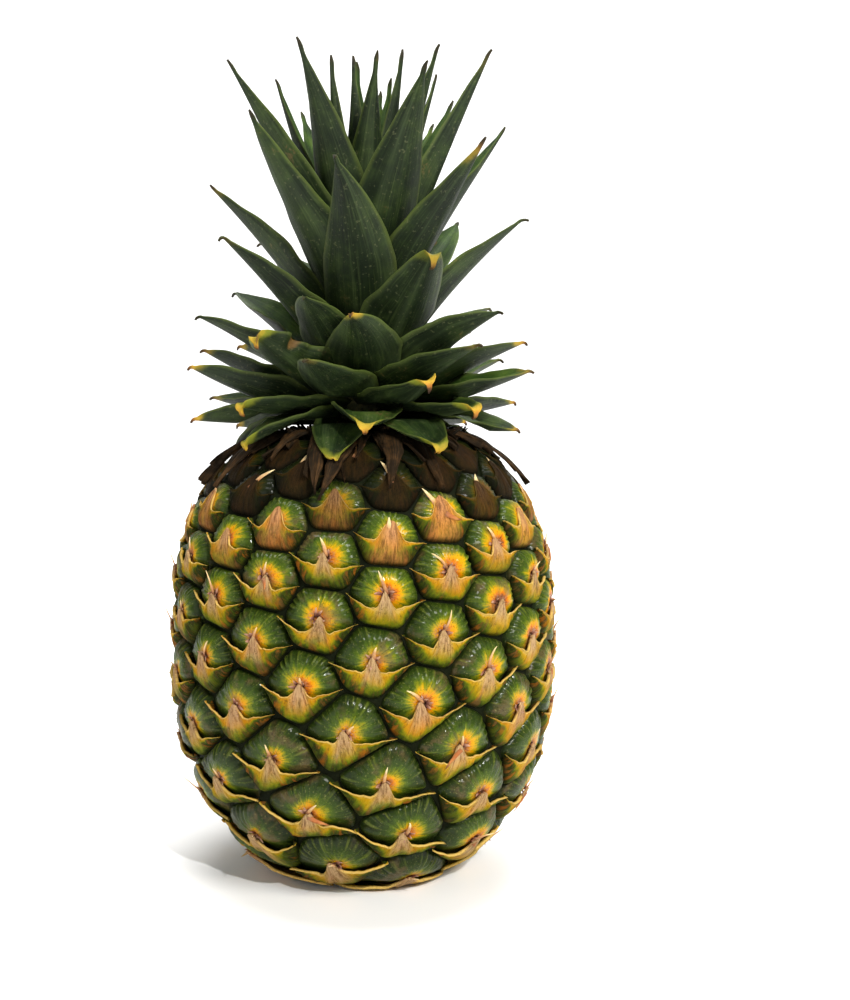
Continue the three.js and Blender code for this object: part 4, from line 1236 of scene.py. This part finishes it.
scale_number = np.arange(SCALE_COUNT)[:, None, None]
t = np.linspace(0, 1, 7)[None, :, None]
c = np.linspace(-1, 1, 5)[None, None, :]
foot = 18 + 15.5 * np.sqrt((scale_number + 0.5) / SCALE_COUNT)
scale_turn = np.radians(EYE_TURN * scale_number) + 0.2 * spread(scale_number, 150)
scale_height = (3.3 + 1.2 * draw(scale_number, 151)) * (1 + 0.45 * ease(foot, 28, 20))
lean_out = 1.2 + 1.8 * draw(scale_number, 152)
half = (2.2 + 1.2 * draw(scale_number, 153)) * (1 - t**1.8) + 0.1
cup = 0.6 * c**2 * t
scale_z = FRUIT_TOP - 0.4 + (scale_height + 0.4) * t**0.9 + 0 * c
bearing = scale_turn + c * half / foot


def scale_face(offset):
    r = foot + lean_out * t**1.6 - cup + offset
    return round_axis(bearing, r, scale_z)


scale_outer, scale_inner = scale_face(0.2 * (1 - 0.6 * t)), scale_face(-0.2 * (1 - 0.6 * t))
points, quads = closed_grids(scale_outer, scale_inner)
scale_shape = scale_outer.shape[:3]
strips = triple(c * 0.3, t * 0.1, scale_number * 0.31)
# The scales' along mark runs only to half, so their feet take the painted shade of the dry leaflet finish.
scale_marks = {"along": both_sides(np.broadcast_to(t * 0.5, scale_shape)), "lines": both_sides(strips)}
withered_scales = make_piece("withered_scales", points, [facing_out(points, quads)], scale_marks, dry_skin)
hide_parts("fruit")

# %% [markdown]
# ## The cut stalk
# The stalk that carried the fruit is cut level with the base. Its cut face is pale, fibrous and dotted
# with the ends of strands. It is a short turned pin whose lower face is a grid of rings, pressed in a
# little between the strands.

# %% The stalk
def stalk_finish():
    material, tree, shader = new_finish("cut_stalk", Specular_IOR_Level=0.2)
    position = place_here(tree)
    strands = put(tree, "TexVoronoi", {"Vector": position, "Scale": 900.0}, out="Distance")
    grain = noise(tree, position, 500.0, 4.0)
    colour = ramp(tree, strands, [
        (0.1, screen(120, 84, 46)),
        (0.35, screen(180, 148, 96)),
        (0.7, screen(206, 180, 130)),
    ])
    colour = stain(tree, colour, grain, 0.5, screen(126, 96, 58))
    wear(tree, shader, colour, plus(tree, 0.7, times(tree, grain, 0.2)), strands, 0.4)
    return material


face_radii = np.linspace(0.3, STALK_RADIUS - 0.35, 12)
face_heights = 0.1 * (1 + np.sin(face_radii * 4)) * (face_radii < STALK_RADIUS - 1)
stalk_radii = np.concatenate([face_radii, [STALK_RADIUS, STALK_RADIUS, STALK_RADIUS - 0.4, 0.3]])
stalk_heights = np.concatenate([face_heights, [0.35, STALK_LENGTH - 0.3, STALK_LENGTH, STALK_LENGTH]])
cut_stalk = turned_piece("cut_stalk_end", stalk_radii, stalk_heights, 48, stalk_finish())
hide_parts("stalk")

# %% [markdown]
# ## Floor, light and camera
# The fruit stands on a plain pale sweep, a floor that curves up behind it so that no horizon shows.
# Soft lights come from the upper right, the left and the back, one lights the wall behind, and a
# small one puts the fine glints on the wet-looking knuckles. The camera is level with the shoulder of
# the fruit, looks along +Y and stands close, so that its perspective is like the photo's.

# %% The sweep
def sweep():
    """A pale floor that curves up into a wall behind the object."""
    front, back, bend, width, top = -1.6, 1.5, 0.7, 4.0, 3.0
    angles = np.linspace(0, math.pi / 2, 16)
    y = np.concatenate([[front], back + bend * np.sin(angles), [back + bend]])
    z = np.concatenate([[0], bend * (1 - np.cos(angles)), [top]])
    points = np.concatenate([np.stack([np.full(len(y), x), y, z], axis=-1) for x in (-width, width)])
    n = len(y)
    faces = [[i, i + n, i + n + 1, i + 1] for i in range(n - 1)]
    mesh = bpy.data.meshes.new("floor")
    mesh.from_pydata(points.tolist(), [], faces)
    mesh.shade_smooth()
    floor = bpy.data.objects.new("floor", mesh)
    bpy.context.scene.collection.objects.link(floor)
    return floor


def floor_finish():
    material, tree, shader = new_finish("pale_floor", Specular_IOR_Level=0.1)
    position = place_here(tree)
    grain = noise(tree, position, 6.0, 2.0)
    colour = ramp(tree, grain, [(0.0, screen(243, 243, 242)), (1.0, screen(247, 247, 246))])
    tree.links.new(colour, shader.inputs["Base Color"])
    shader.inputs["Roughness"].default_value = 0.9
    return material


floor = sweep()
floor.data.materials.append(floor_finish())

# %% Lights
def soft_light(name, place, target, size, watts, colour=(1, 1, 1)):
    """A round soft lamp at a place, in metres, that faces a target."""
    lamp = bpy.data.lights.new(name, "AREA")
    lamp.shape = "DISK"
    lamp.size, lamp.energy, lamp.color = size, watts, colour
    light = bpy.data.objects.new(name, lamp)
    light.location = place
    light.rotation_euler = (Vector(target) - Vector(place)).to_track_quat("-Z", "Y").to_euler()
    bpy.context.scene.collection.objects.link(light)


heart = (0, 0, 0.13)
soft_light("key", (0.9, -1.1, 1.1), heart, 0.55, 21, (1, 0.98, 0.94))
soft_light("glint", (0.35, -0.9, 0.75), heart, 0.03, 8)
soft_light("fill", (-1.2, -0.9, 0.5), heart, 1.2, 5, (0.97, 0.98, 1))
soft_light("back", (0.2, 1.0, 1.2), heart, 1.0, 9)
soft_light("wall", (0, 0.2, 1.9), (0, 2.2, 0.5), 1.4, 60)
world = bpy.data.worlds.new("studio")
bpy.context.scene.world = world
world.use_nodes = True
world.node_tree.nodes["Background"].inputs["Color"].default_value = (1, 1, 1, 1)
world.node_tree.nodes["Background"].inputs["Strength"].default_value = 0.25
bpy.context.scene.view_settings.view_transform = "Standard"

# %% Camera
IMAGE_WIDTH, IMAGE_HEIGHT = 850, 1000
FOCAL_PIXELS = 1197.6
CAMERA_DISTANCE = 400
CAMERA_ELEVATION = math.radians(1.04)
AXIS_PIXEL = (363, 454.3)
AXIS_HEIGHT = 135

camera_data = bpy.data.cameras.new("camera")
camera_data.sensor_width = 36
camera_data.lens = FOCAL_PIXELS * 36 / IMAGE_HEIGHT
camera_data.shift_x = (IMAGE_WIDTH / 2 - AXIS_PIXEL[0]) / IMAGE_HEIGHT
camera_data.shift_y = (AXIS_PIXEL[1] - IMAGE_HEIGHT / 2) / IMAGE_HEIGHT
level_distance = CAMERA_DISTANCE * math.cos(CAMERA_ELEVATION)
eye_level = AXIS_HEIGHT + CAMERA_DISTANCE * math.sin(CAMERA_ELEVATION)
camera = bpy.data.objects.new("camera", camera_data)
camera.location = Vector((0, -level_distance, eye_level)) * MM
camera.rotation_euler = (math.pi / 2 - CAMERA_ELEVATION, 0, 0)
bpy.context.scene.collection.objects.link(camera)
bpy.context.scene.camera = camera
print(f"Lens {camera_data.lens:.1f} mm, camera {CAMERA_DISTANCE} mm away")
